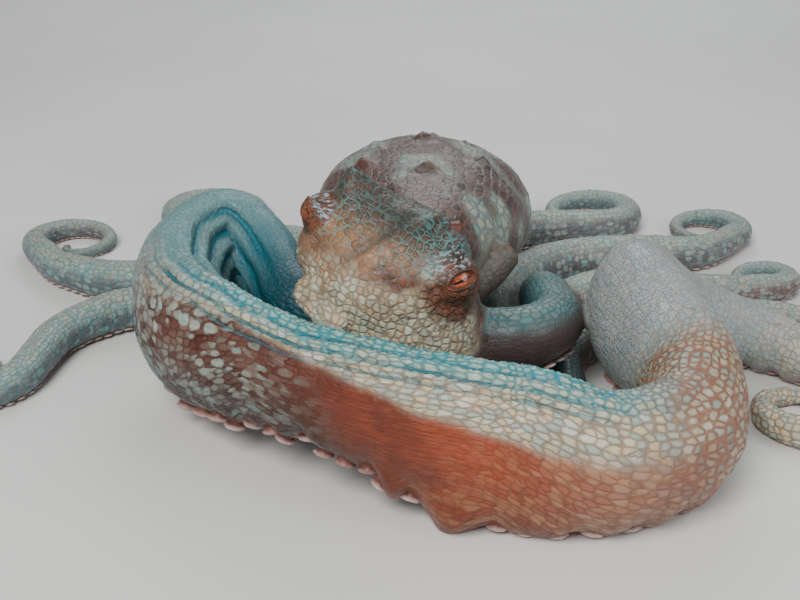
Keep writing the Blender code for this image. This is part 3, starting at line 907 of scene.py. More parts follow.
def skin_zones(points, survey):
    """Share of each marking at every vertex, from where it lies on the body."""
    run, angle = survey.run, survey.angle
    turned = past_under(angle)
    side, front, top = survey.head.T
    arm, head = survey.arm, survey.shell == HEAD
    front_arm, mantle = survey.shell == FRONT_ARM, survey.shell == MANTLE
    inner = np.isin(survey.shell, [SHELLS.index("left_1"), SHELLS.index("left_2")])
    wave = np.sin(run * 1.3 + 0.4) + 0.6 * np.sin(run * 3.1 + 2.0)
    zones = {}

    # pale cobbles: along the top of every arm, widest on the front arm's band, and low on the head
    edge = np.interp(run, *zip(*PALE_EDGE)) + 1.6 * wave
    loose = 3 + 28 * ramp(18.5, 13.0, run) + 24 * ramp(30.5, 36.0, run)
    band = ramp(edge - loose, edge + loose, turned) * (0.5 + 0.5 * ramp(14.0, 20.0, run))
    band *= ramp(6.0, 9.0, run)
    band = np.maximum(band, ramp(34.5, 38.5, run) * ramp(-55, -15, turned))
    band = np.maximum(band, 0.26 * ramp(30.0, 36.0, run) * ramp(-80, -30, angle))
    others = ramp(25, 62, turned + 4 * wave) * ramp(170, 130, turned) * 0.85
    ripple = 0.22 * np.sin(1.9 * side + 0.6) + 0.12 * np.sin(4.1 * side + 2.0 * top)
    low = ramp(8.6, 7.45, points[:, 2] + 0.05 * points[:, 0] + ripple) * ramp(-1.2, 0.4, front)
    patch = sum(
        np.exp(-(((side - a) / 0.34) ** 2 + ((top - b) / 0.26) ** 2)) * ramp(0.8, 1.6, front)
        for a, b in RUST_PATCHES
    )
    body = np.where(head, low * (1 - np.clip(patch, 0, 0.9)), 0.0)
    cloud = np.sin(points[:, 0] * 1.1 + 0.5) * np.sin(points[:, 1] * 0.8 + 1.2)
    cloud += 0.7 * np.sin(points[:, 0] * 2.3 + points[:, 1] * 1.7) * np.sin(points[:, 2] * 1.9)
    body = np.where(mantle, 0.85 * ramp(-0.1, 0.7, cloud), body)
    body = np.where(survey.shell == WEB, 0.6, np.where(survey.shell == SIPHON, 0.3, body))
    body = np.clip(body, 0.0, 1.0)
    zones["pale"] = np.where(front_arm, band, np.where(arm, others, body))

    # net cells of the head's upper part, and warmer cobbles under them
    horn = horn_share(survey)[0]
    net = np.where(head, 1 - low + np.clip(patch, 0, 1) * low, 0.0) * (1 - horn)
    zones["net"] = np.where(mantle, 0.85, net)
    tan = ramp(9.7, 8.3, points[:, 2] + 0.32 * side) * (1 - np.clip(patch, 0, 1))
    zones["tan"] = np.where(head, tan * ramp(-0.8, 0.5, front), 0.0)
    zones["warm"] = np.where(head, 0.55 + 0.45 * ramp(6.2, 7.8, points[:, 2]), 0.0)

    # teal, strongest in the hollow of the front arm's arch and along its furrows
    teal = ramp(13.0, 8.0, run) + 0.9 * ramp(66, 104, turned) * ramp(44.0, 24.0, run)
    teal += 0.35 * ramp(45, 90, turned) * ramp(31.0, 19.0, run) + 0.35 * hump(10.5, 4.0, run)
    teal += 0.45 * ramp(50, 74, turned) * ramp(20.0, 25.0, run) * ramp(39.0, 33.0, run)
    teal += 0.30 * ramp(20, -60, angle) * ramp(23.0, 15.0, run)
    teal = np.where(front_arm, teal, np.where(arm, 0.30 + 0.25 * ramp(90, 150, turned), 0.3))
    brown_side = ramp(60, 20, turned) * ramp(-80, -40, angle)
    teal = np.where(inner, np.maximum(teal, ramp(14, 9, run)) * (1 - brown_side), teal)
    teal = np.where(head, (0.15 + 0.75 * ramp(0.2, 1.7, top)) * (1 - horn), teal)
    teal = np.where(mantle, 0.55, np.where(survey.shell == SIPHON, 0.1, teal))
    zones["teal"] = np.clip(teal, 0.0, 1.0)
    # painted shade: the front arm darker at its root in the arch's hollow and low on its flank between
    # runs of about 11 and 29 cm, where the den's shade fell; the inner arms darker beside the head; the
    # crown and siphon darker low under the head. The horn takes the same darkening for its own duller
    # colour.
    painted_den_shade = ramp(8, 3, run) + 0.80 * ramp(11, 16, run) * ramp(29, 22, run) * ramp(35, -35, angle)
    deep = np.where(front_arm, painted_den_shade, 0.0)
    deep = np.where(inner, (0.75 + 0.25 * brown_side) * ramp(14, 9, run), deep)
    deep = np.where(head, 0.6 * horn, deep)
    zones["deep"] = np.where(np.isin(survey.shell, [CROWN, SIPHON]), 0.6, deep)

    # round pale spots on the brown flanks, and the orange blush under the band's edge: partly the skin's
    # orange, partly painted light, a painted highlight near the band and painted shade towards the arch
    # and below
    spots = ramp(9.5, 13.0, run) * ramp(25.5, 19.0, run + angle / 40) * ramp(100, 70, turned)
    back_spots = np.where(arm, 0.75 * (1 - inner * ramp(14, 9, run)), 0.0)
    zones["spots"] = np.where(front_arm, spots, back_spots)
    blush = (0.35 + 0.65 * ramp(-60, 10, angle)) * ramp(22.5, 29.0, run)
    zones["blush"] = np.where(front_arm, blush, np.where(survey.shell == SIPHON, 0.0, 0.2 + 0.2 * horn))

    # fine grains on the crests, and rounder ringed cells past the band
    grains = hump(9.5, 3.8, run) * (0.15 + 0.85 * ramp(120, 90, turned))
    grains += ramp(40.0, 43.0, run) * ramp(60.0, 52.0, run)
    zones["grains"] = np.where(front_arm, np.clip(grains, 0, 1), np.where(arm, 0.25, 0.0))
    ringed = ramp(33.0, 37.0, run) * ramp(43.0, 40.5, run)
    zones["ringed"] = np.where(front_arm, ringed, np.where(mantle, 0.6, 0.0))
    zones["ovals"] = np.where(front_arm, ramp(26.5, 33.0, run - angle / 30) * ramp(44.0, 40.0, run), 0.0)

    # the smooth pale underside, where the suckers stand
    zones["under"] = np.where(arm, ramp(-52, -80, angle) * ramp(-128, -100, angle), 0.0)

    # painted shade under each eye, much stronger under the left one, and a dark rim in the crease round
    # each lid, both in dark brown; and the silvery folds over each eye
    dark, lids = np.zeros(len(points)), np.zeros(len(points))
    for sign, distance, over, ahead in near_eyes(points):
        under = ramp(1.95, 1.25, distance) * ramp(0.55, 0.15, over)
        dark = np.maximum(dark, under * (1.0 if sign > 0 else 0.35))
        dark = np.maximum(dark, 0.9 * ramp(1.16, 1.04, distance) * ramp(0.0, 0.3, ahead))
        fold = ramp(1.75, 1.30, distance) * ramp(0.32, 0.45, over) * ramp(0.05, 0.35, ahead)
        lids = np.maximum(lids, fold * ramp(0.98, 0.85, over))
    zones["shade"] = np.where(head, dark, 0.0)
    zones["lids"] = np.where(head, lids, 0.0)
    return zones


def arc_round(angle, half_width, half_height):
    """Distance round an ellipse from its top to an angle, in degrees."""
    far = np.radians(past_under(angle) - 90)
    steps = (np.arange(16) + 0.5) / 16
    turns = math.pi / 2 + far[:, None] * steps
    pace = np.hypot(half_width[:, None] * np.sin(turns), half_height[:, None] * np.cos(turns))
    return far * pace.mean(axis=1)


def cell_places(points, survey):
    """Coordinates in which one marking cell is about one unit wide, straightened along each arm."""
    run = survey.run
    arc = arc_round(survey.angle, survey.half_width, survey.half_height)
    front = survey.shell == FRONT_ARM
    table = np.linspace(0, 80, 801)
    long_front = np.interp(table, CELL_RUNS, CELL_LENGTHS)
    along_front = np.concatenate([[0], np.cumsum(np.diff(table) / long_front[1:])])
    along = np.where(front, np.interp(run, table, along_front), run / 0.30)
    wide = np.where(front, np.interp(run, WIDTH_RUNS, CELL_WIDTHS), 0.26)
    size = np.clip(survey.half_width / 1.1, 0.25, 1.0)
    wide = np.where(front, wide, wide * size)
    layer = survey.shell + 0.5
    places = np.column_stack([along, arc / wide, layer])
    rows = smooth_curve(MANTLE_STATIONS, 12)
    shape = (np.interp(points[:, 1], rows[:, 1], rows[:, k]) for k in (0, 2, 3, 4))
    x, z, half_width, half_height = shape
    angle = np.degrees(np.arctan2((points[:, 2] - z) / half_height, (points[:, 0] - x) / half_width))
    arc = arc_round(angle, half_width, half_height)
    mantle = np.column_stack([points[:, 1] / 0.46, arc / 0.42, layer])
    places = np.where((survey.shell == MANTLE)[:, None], mantle, places)
    flat = survey.arm | (survey.shell == MANTLE)
    places = np.where(flat[:, None], places, survey.head / 0.29 + 500)
    sway = 0.12 * np.sin(2.1 * places[:, [1, 2, 0]] + (0.0, 1.1, 2.3))
    sway[flat, 2] = 0.0
    return places + sway


# ---------------------------------------------------------------- geometry nodes


class Recipe:
    """A geometry node tree with named inputs."""

    def __init__(self, name, inputs):
        self.tree = bpy.data.node_groups.new(name, "GeometryNodeTree")
        face = self.tree.interface
        face.new_socket("Geometry", in_out="INPUT", socket_type="NodeSocketGeometry")
        for label, kind in inputs:
            face.new_socket(label, in_out="INPUT", socket_type=kind)
        face.new_socket("Geometry", in_out="OUTPUT", socket_type="NodeSocketGeometry")
        self.start = self.tree.nodes.new("NodeGroupInput")
        self.end = self.tree.nodes.new("NodeGroupOutput")

    def given(self, name):
        """One of the tree's own inputs."""
        return self.start.outputs[name]

    def node(self, kind, inputs=None, **settings):
        """Adds a node; inputs are values or sockets by name or number."""
        node = self.tree.nodes.new(kind)
        for name, value in settings.items():
            setattr(node, name, value)
        for name, value in (inputs or {}).items():
            if isinstance(value, bpy.types.NodeSocket):
                self.tree.links.new(value, node.inputs[name])
            else:
                node.inputs[name].default_value = value
        return node

    def named(self, name, kind="FLOAT"):
        """A value or a vector that each vertex holds under a name."""
        return self.node("GeometryNodeInputNamedAttribute", {"Name": name}, data_type=kind).outputs[0]

    def maths(self, operation, first, second):
        """A Math node over two values or links."""
        return self.node("ShaderNodeMath", {0: first, 1: second}, operation=operation).outputs[0]

    def finish(self, geometry):
        """Closes the tree: instances become real and take the material."""
        real = self.node("GeometryNodeRealizeInstances", {"Geometry": geometry})
        inputs = {"Geometry": real.outputs[0], "Material": self.given("Material")}
        finished = self.node("GeometryNodeSetMaterial", inputs)
        self.tree.links.new(finished.outputs[0], self.end.inputs["Geometry"])

    def run_on(self, item, **values):
        """Gives an object this tree, with its inputs, and turns the result into its mesh."""
        step = item.modifiers.new(self.tree.name, "NODES")
        step.node_group = self.tree
        for socket in self.tree.interface.items_tree:
            if socket.in_out == "INPUT" and socket.name in values:
                step[socket.identifier] = values[socket.name]
        return settle(item)


def skin_relief():
    """Raises each marking cell into a low cobble and makes the flesh slightly uneven."""
    sizes = ("Cobble height", "Lump height", "Lump width")
    recipe = Recipe(
        "octopus_skin_relief",
        [(name, "NodeSocketFloat") for name in sizes] + [("Material", "NodeSocketMaterial")],
    )
    place = recipe.named("skin_place", "FLOAT_VECTOR")
    settings = {"feature": "DISTANCE_TO_EDGE"}
    cells = recipe.node("ShaderNodeTexVoronoi", {"Vector": place, "Randomness": 0.62}, **settings)
    dome = recipe.node(
        "ShaderNodeMapRange",
        {"Value": cells.outputs["Distance"], "From Max": 0.30},
        interpolation_type="SMOOTHSTEP",
    )
    cobble = recipe.maths("MULTIPLY", dome.outputs[0], recipe.named("cobbles"))
    cobble = recipe.maths("MULTIPLY", cobble, recipe.given("Cobble height"))
    where = recipe.node("GeometryNodeInputPosition").outputs[0]
    width = recipe.maths("DIVIDE", 1.0, recipe.given("Lump width"))
    noise = recipe.node("ShaderNodeTexNoise", {"Vector": where, "Scale": width, "Detail": 3.0})
    lump = recipe.maths("SUBTRACT", noise.outputs[0], 0.5)
    lump = recipe.maths("MULTIPLY", lump, recipe.given("Lump height"))
    lump = recipe.maths("MULTIPLY", lump, recipe.named("lumps"))
    rise = recipe.maths("ADD", cobble, lump)
    normal = recipe.node("GeometryNodeInputNormal").outputs[0]
    offset = recipe.node("ShaderNodeVectorMath", {0: normal, "Scale": rise}, operation="SCALE")
    inputs = {"Geometry": recipe.given("Geometry"), "Offset": offset.outputs[0]}
    recipe.finish(recipe.node("GeometryNodeSetPosition", inputs).outputs[0])
    return recipe


def sucker_rows(form):
    """Sets a sucker on every seat, turned to its axis and grown to its size."""
    recipe = Recipe(
        "octopus_sucker_rows",
        [("Size factor", "NodeSocketFloat"), ("Material", "NodeSocketMaterial")],
    )
    shape = recipe.node("GeometryNodeObjectInfo", {"Object": form})
    turn = recipe.node(
        "FunctionNodeAlignRotationToVector",
        {"Vector": recipe.named("sucker_axis", "FLOAT_VECTOR")},
        axis="Z",
    )
    size = recipe.maths("MULTIPLY", recipe.named("sucker_size"), recipe.given("Size factor"))
    inputs = {
        "Points": recipe.given("Geometry"),
        "Instance": shape.outputs["Geometry"],
        "Rotation": turn.outputs[0],
        "Scale": size,
    }
    recipe.finish(recipe.node("GeometryNodeInstanceOnPoints", inputs).outputs[0])
    return recipe


# ---------------------------------------------------------------- materials


def srgb(red, green, blue):
    """Linear colour from the usual 0 to 255 steps."""

    def linear(value):
        value /= 255
        return value / 12.92 if value <= 0.04045 else ((value + 0.055) / 1.055) ** 2.4

    return (linear(red), linear(green), linear(blue), 1.0)


def new_material(name, **constants):
    """A material, its Principled node with the constants set, and a Shader to write it with."""
    material = bpy.data.materials.new(name)
    material.use_nodes = True
    surface = material.node_tree.nodes["Principled BSDF"]
    for socket, value in constants.items():
        surface.inputs[socket.replace("_", " ")].default_value = value
    return material, surface, Shader(material.node_tree)


def feed(surface, name, value):
    """Links a value to one of the shader's sockets."""
    value.tree.links.new(value.socket, surface.inputs[name])


def skin_material(look):
    """Wet octopus skin: cobbles and net cells over red-brown, teal and cream."""
    material, surface, write = new_material(
        "octopus_skin",
        Subsurface_Weight=0.12,
        Subsurface_Radius=(0.004, 0.002, 0.0012),
        Subsurface_Scale=0.6,
        Coat_Roughness=0.22,
        IOR=1.38,
    )

    def cells(feature, vector, scale, name="Distance"):
        inputs = {"Vector": vector, "Scale": scale, "Randomness": 0.62}
        return write.node("ShaderNodeTexVoronoi", {"feature": feature}, inputs).output(name)

    zone = write.attribute
    place = write.vector("skin_place")
    where = write.place()
    pale, net, teal, deep = zone("pale"), zone("net"), zone("teal"), zone("deep")
    spots, blush, grains, ringed = zone("spots"), zone("blush"), zone("grains"), zone("ringed")
    warm, crease, under = zone("warm"), zone("crease"), zone("under")
    shade, lids, joint, tanned = zone("shade"), zone("lids"), zone("joint"), zone("tan")
    ovals = zone("ovals") * (1 - pale)
    upper = net * (1 - pale)

    edge = cells("DISTANCE_TO_EDGE", place, 1.0)
    middle = cells("F1", place, 1.0)
    chance = write.node("ShaderNodeSeparateColor", None, {"Color": middle.output("Color")}, output=0)
    second = chance.output("Green")
    fine_edge = cells("DISTANCE_TO_EDGE", place, 3.0)
    broad = write.noise(where, 34.0, 3.0, 0.55)
    mottle = write.noise(where, 210.0, 4.0, 0.6)
    streak = write.noise(place.stretch((0.42, 2.6, 1.0)), 1.5, 4.0, 0.6)
    patchy = broad.between(0.38, 0.66)

    # furrows along the front arm
    phase = zone("furrow_phase") + 0.22 * (broad - 0.5)
    groove = phase.maths("COSINE", phase * (2 * math.pi))
    groove = groove.between(-0.35, -0.95) * zone("furrow")

    # ground of the flanks, lifted by the blush share from dark brown to red-brown and orange: partly the
    # skin's colour, partly a painted highlight near the band and painted shade towards the arch and
    # below
    flank = (0.04 + 0.18 * patchy + 0.80 * blush).mix(look["flank_dark"], look["flank"])
    calm = 1 - 0.6 * ovals
    flank = (streak.between(0.46, 0.74) * (0.08 + 0.52 * blush) * calm).mix(flank, look["flank_light"])
    flank = (streak.between(0.50, 0.30) * 0.45 * calm).mix(flank, look["flank_dark"])
    flank = (ovals * (0.08 + 0.42 * second.between(0.25, 0.85))).mix(flank, look["tan"])
    flank = (broad.between(0.46, 0.34) * 0.30).mix(flank, look["flank_dark"])
    flank = (spots * chance * (0.30 + 0.35 * patchy)).mix(flank, look["mauve"])
    flank = (spots * second.between(0.45, 0.85) * 0.50).mix(flank, look["cream_grey"])

    # the cobbles: grey, cream and white by chance, tan on the head
    cream = chance.between(0.1, 0.9).mix(look["cream_grey"], look["cream"])
    cream = (second.between(0.70, 0.95) * 0.7).mix(cream, look["white"])
    tan = second.between(0.2, 0.8).mix(look["tan"], look["cream"])
    cream = (warm * (0.70 + 0.30 * patchy)).mix(cream, tan)
    rust = chance.between(0.0, 1.0).mix(look["rust_dark"], look["rust"])
    rust = (mottle.between(0.45, 0.75) * 0.30).mix(rust, look["flank_light"])
    rust = (teal * 0.70).mix(rust, look["teal_dark"])
    rust = (tanned * (0.42 + 0.45 * second)).mix(rust, look["tan"])

    cell = pale.mix(flank, cream)
    cell = upper.mix(cell, rust)
    cell = (teal * pale * (0.40 + 0.60 * second)).mix(cell, look["teal_pale"])
    cell = (teal * (1 - pale) * (1 - net) * (1 - 0.5 * spots) * 0.9).mix(cell, look["teal_deep"])
    cell = cell.tint(look["fleck"], ringed * 0.35)
    cell = (grains * 0.70).mix(cell, (teal * 0.6).mix(look["crest"], look["teal_pale"]))

    line = pale.mix(look["flank_dark"], look["line_brown"])
    line = (teal.between(0.05, 0.45) * broad.between(0.25, 0.50)).mix(line, look["teal_bright"])
    line = upper.mix(line, patchy.mix(look["net_dark"], look["net"]))
    line = (upper * tanned * 0.6).mix(line, look["cream_grey"])
    line = (ringed * 0.8).mix(line, look["ring_red"])

    # thin lines with round corners, wider in the net and the ringed cells
    wide = 0.036 + 0.030 * upper + 0.05 * ringed + 0.05 * (broad - 0.5)
    gap = 1 - (edge / wide).between(0.45, 1.7)
    corner = (middle + 0.07 * ringed - 0.09 * warm).between(0.50, 0.66) * (0.8 - 0.4 * upper)
    gap = gap.maths("MAXIMUM", gap, corner)
    netted = upper * patchy.between(0.0, 1.0, 0.45, 0.90) * (1 - 0.35 * tanned)
    drawn = pale.maths("MAXIMUM", pale * (0.62 + 0.38 * teal), netted)
    drawn = drawn.maths("MAXIMUM", drawn, spots * 0.60)
    drawn = drawn.maths("MAXIMUM", drawn, ovals * 0.40)
    drawn = drawn.maths("MAXIMUM", drawn, ringed * 0.85)
    drawn = drawn.maths("MAXIMUM", drawn, teal * 0.35) * (1 - joint) * (1 - 0.7 * grains)
    # painted shade: each cell darker towards its edge, as a rounded cobble is shaded
    unshaded_middle = edge.between(0.0, 0.30)
    cell = cell.tint(look["fleck"], (1 - unshaded_middle) * 0.55 * drawn)
    colour = (gap * drawn).mix(cell, line)

    # grains, round spots
    dot = (1 - fine_edge.between(0.03, 0.20)) * grains * (0.45 + 0.5 * teal)
    colour = dot.mix(colour, look["crest_dark"])
    round_cell = cells("F1", place.stretch((0.6, 0.6, 1.0)), 1.0)
    luck = write.node("ShaderNodeSeparateColor", None, {"Color": round_cell.output("Color")}, output=0)
    spot = 1 - (round_cell / (0.20 + 0.30 * luck)).between(0.75, 1.1)
    spot = spot * spots * (1 - pale) * luck.between(0.15, 0.4)
    spotted = (teal + luck.output("Green") - 0.5).mix(look["cream_grey"], look["teal_pale"])
    colour = (spot * 0.75).mix(colour, spotted)

    # furrows, hollows, underside, eyes and flecks
    colour = (groove * 0.9).mix(colour, look["teal_deep"])
    colour = (crease * 0.6).mix(colour, look["teal_dark"])
    # painted shade in the hollows, low on the front arm's flank, and beside and under the head
    colour = colour.tint(look["shadow"], deep * 0.7)
    colour = under.mix(colour, mottle.between(0.35, 0.7).mix(look["lilac"], look["lilac_dark"]))
    # painted shade round the eyes, in mottled dark brown
    brown = mottle.between(0.38, 0.68).mix(look["eye_brown"], look["rust"])
    colour = (shade * 0.9).mix(colour, brown)
    wrinkle = write.noise(where.stretch((1.0, 1.0, 3.0)), 430.0, 2.0, 0.55)
    silver = lids * wrinkle.between(0.50, 0.62)
    colour = (silver * 0.70).mix(colour, look["lid"])
    colour = colour.tint(look["fleck"], mottle.between(0.60, 0.72) * 0.30)
    feed(surface, "Base Color", colour)

    # relief
    dome = edge.between(0.0, 0.24) * (1 - corner)
    raised = dome * (0.15 + 0.85 * drawn) + 0.22 * fine_edge.between(0.0, 0.2) * (0.3 + grains)
    raised = raised + 0.16 * mottle + 0.06 * streak * (1 - drawn) + 0.35 * spot - 1.1 * groove
    inputs = {"Strength": 0.7, "Distance": look["relief"], "Height": raised}
    feed(surface, "Normal", write.node("ShaderNodeBump", None, inputs))
    feed(surface, "Roughness", mottle.between(0.2, 0.8, 0.34, 0.54))
    feed(surface, "Coat Weight", 0.06 + 0.14 * dome)
    return material


def sucker_material(look):
    """Pale lilac sucker rims that darken into the cup."""
    material, surface, write = new_material(
        "octopus_suckers", Subsurface_Weight=0.15, Subsurface_Scale=0.002, Coat_Roughness=0.2, IOR=1.38
    )
    place = write.attribute("cup_place")
    where = write.place()
    grain = write.noise(where, 420.0, 3.0)
    blush = write.noise(where, 60.0)
    rim = (grain.between(0.3, 0.7) * 0.45).mix(look["lilac"], look["white"])
    rim = (blush.between(0.45, 0.7) * 0.6).mix(rim, look["lilac_dark"])
    wall = blush.between(0.35, 0.65).mix(look["flank_dark"], look["lilac_dark"])
    rim = place.between(0.15, 0.38).mix(wall, rim)
    colour = place.between(0.50, 0.85).mix(rim, look["cup"])
    feed(surface, "Base Color", colour)
    feed(surface, "Roughness", grain.between(0.2, 0.8, 0.34, 0.52))
    height = grain * 0.5 + place.between(0.2, 0.5)
    inputs = {"Strength": 0.4, "Distance": 0.0004, "Height": height}
    feed(surface, "Normal", write.node("ShaderNodeBump", None, inputs))
    return material


def eye_material(look):
    """Copper iris with a dark level slit under a clear wet surface."""
    material, surface, write = new_material(
        "octopus_eye", Coat_Weight=1.0, Coat_Roughness=0.03, IOR=1.38
    )
    place = write.vector("eye_place")
    parts = write.node("ShaderNodeSeparateXYZ", None, {"Vector": place}, output=0)
    across, rise, ahead = parts, parts.output("Y"), parts.output("Z")
    radial = write.noise(place.stretch((5, 14, 3)), 2.2, 4.0)
    fleck = write.noise(place, 16.0, 3.0)
    iris = radial.between(0.3, 0.7).mix(look["iris_dark"], look["iris"])
    iris = (fleck.between(0.58, 0.7) * 0.7).mix(iris, look["iris_light"])
    # painted highlight: a violet-blue sheen over the upper part of the iris
    glint = rise.between(0.1, 0.4) * across.between(-0.2, 0.5)
    iris = (glint * 0.45).mix(iris, look["iris_blue"])
    out = across * across + rise * rise * 1.6
    out = out.maths("SQRT", out)
    iris = out.between(0.24, 0.50).mix(iris, look["iris_dark"])
    iris = out.between(0.44, 0.70).mix(iris, look["eye_brown"])
    bend = rise - 0.10 * across * across
    tall = bend.maths("ABSOLUTE", bend)
    ends = (across * across).between(0.24, 0.06, 0.0, 0.055)
    slit = 1 - (tall - ends).between(-0.008, 0.014)
    slit = slit * ahead.between(0.0, 0.2)
    colour = slit.mix(iris, look["slit"])
    feed(surface, "Base Color", colour)
    feed(surface, "Roughness", fleck.between(0.3, 0.7, 0.16, 0.28))
    return material


def floor_material(look):
    """Plain pale matt surface with the faintest unevenness."""
    material, surface, write = new_material("pale_floor")
    cloud = write.noise(write.place(), 3.0, 3.0)
    feed(surface, "Base Color", cloud.between(0.3, 0.7).mix(look["floor_low"], look["floor"]))
    feed(surface, "Roughness", cloud.between(0.3, 0.7, 0.72, 0.82))
    return material


# ---------------------------------------------------------------- building the pieces


def set_values(mesh, name, values):
    """Writes a number or a vector for each vertex."""
    values = np.asarray(values, np.float32)
    kind, key = ("FLOAT_VECTOR", "vector") if values.ndim == 2 else ("FLOAT", "value")
    layer = mesh.attributes.get(name) or mesh.attributes.new(name, kind, "POINT")
    layer.data.foreach_set(key, values.ravel())


def to_frame(points):
    """From the body's own frame in cm to the frame on the floor in metres."""
    return (points + STAND) * CM


def draw_over(source, middles, step_size):
    """One closed surface over all the source shells, finer round the eyes."""
    item = mesh_object("octopus_skin", source[0], source[1])
    step = item.modifiers.new("draw_over", "REMESH")
    step.mode = "VOXEL"
    step.voxel_size = step_size / CM
    settle(item)
    refine_near(item, middles, REFINE_REACHES)
    return item


def soften_joins(points, edges, join, reach):
    """Melts the shells into each other where they meet, and the eyes' mounds into the head."""
    soft = np.clip(spread(join, edges, 18) * 5, LEAST_SOFT, 1.0)
    soft = np.maximum(soft, 0.9 * ramp(2.3, 1.7, reach) * ramp(0.8, 1.0, reach))
    return spread(points, edges, JOIN_ROUNDS, soft)


def mark_skin(mesh, zones, places, mend, phase, away, survey):
    """Writes the markings, the cells' coordinates and the shares of the relief to the vertices."""
    for name, values in zones.items():
        set_values(mesh, name, values)
    set_values(mesh, "skin_place", places)
    set_values(mesh, "joint", mend)
    set_values(mesh, "furrow_phase", phase)
    cobbles = np.maximum(zones["pale"], 0.55 * zones["net"]) * (1 - 0.6 * zones["grains"])
    cobbles = np.maximum(cobbles, 0.45 * zones["spots"]) * (1 - zones["under"]) * (1 - mend)
    set_values(mesh, "cobbles", (0.12 + 0.88 * cobbles) * away)
    set_values(mesh, "lumps", away * np.clip(survey.half_width / 1.2, 0.2, 1.0))


def thin_skin(item, survey, edges, reach, faces):
    """Thins the skin to a number of triangles, least on the head and the front arm."""
    keep = np.where(survey.shell == HEAD, 0.80, 0.30)
    shown = (survey.shell == FRONT_ARM) & (survey.run > 4) & (survey.run < 46)
    keep[shown & (survey.angle > -75)] = 0.75
    keep[survey.shell == MANTLE] = 0.35
    keep = spread(keep, edges, 5)
    keep[reach < 1.35] = 0.97
    group = item.vertex_groups.new(name="keep")
    for level in np.unique(np.round(keep, 2)):
        group.add(np.flatnonzero(np.round(keep, 2) == level).tolist(), float(level), "REPLACE")
    item.data.calc_loop_triangles()
    thin = item.modifiers.new("thin", "DECIMATE")
    thin.ratio = faces / len(item.data.loop_triangles)
    thin.vertex_group = "keep"
    thin.invert_vertex_group = True
    thin.vertex_group_factor = 1.0
    thin.use_collapse_triangulate = True
    settle(item)
    item.vertex_groups.clear()


def above_floor(points):
    """The same points with none below the floor."""
    points[:, 2] = np.maximum(points[:, 2], 0.0)
    return points


def build_skin(sizes, look):
    """The whole skin as one piece, and the arms that it was drawn over."""
    arms = {name: Arm(stations, curl, ARM_STEP) for name, (stations, curl) in ARMS.items()}
    source = source_shells(arms)
    middles = [Vector(head_place(*place)) for place, sign in EYES.values()]
    item = draw_over(source, middles, sizes.skin_step)

    mesh = item.data
    points, edges = points_of(mesh), edges_of(mesh)
    survey = Survey(points, arms, source)
    apart = survey.shell[edges[:, 0]] != survey.shell[edges[:, 1]]
    join = np.zeros(len(points))
    join[edges[apart].ravel()] = 1.0
    eyes = np.array([np.array(m) for m in middles])
    reach = np.linalg.norm(points[:, None] - eyes[None], axis=2).min(axis=1)
    points = soften_joins(points, edges, join, reach)
    place_points(mesh, points)
    points, furrow, phase, crests = shape_arms(points, normals_of(mesh), survey)
    points, crease = shape_head(points, normals_of(mesh), survey)
    points = shape_mantle(points, normals_of(mesh), survey)
    place_points(mesh, points)

    zones = skin_zones(points, survey)
    zones["furrow"], zones["crease"] = furrow, crease
    zones["grains"] = np.maximum(zones["grains"], crests)
    zones = {name: spread(values, edges, 4, 0.7) for name, values in zones.items()}
    mend = np.clip(spread(join, edges, 3) * 4, 0, 1)
    places = cell_places(points, survey)
    mark_skin(mesh, zones, places, mend, phase, ramp(0.95, 1.5, reach), survey)
    inputs = {
        "Cobble height": sizes.cobble_height / CM,
        "Lump height": sizes.lump_height / CM,
        "Lump width": LUMP_WIDTH,
        "Material": skin_material(look),
    }
    skin_relief().run_on(item, **inputs)

    place_points(item.data, above_floor(shape_eyelids(points_of(item.data), survey)))
    thin_skin(item, survey, edges, reach, sizes.skin_faces)
    place_points(item.data, to_frame(above_floor(points_of(item.data))))
    item.data.shade_smooth()
    return item, arms


def lathe(name, profile, sides):
    """Closed cup turned from a profile of (radius, height)."""
    turns = [2 * math.pi * k / sides for k in range(sides)]
    rows = [[(r * math.cos(turn), r * math.sin(turn), z) for turn in turns] for r, z in profile]
    verts, faces = close_rings(np.array(rows))
    item = mesh_object(name, verts, faces)
    depth = np.concatenate([np.repeat(np.linspace(0, 1, len(profile)), sides), [0.0, 1.0]])
    set_values(item.data, "cup_place", depth)
    item.data.shade_smooth()
    return item


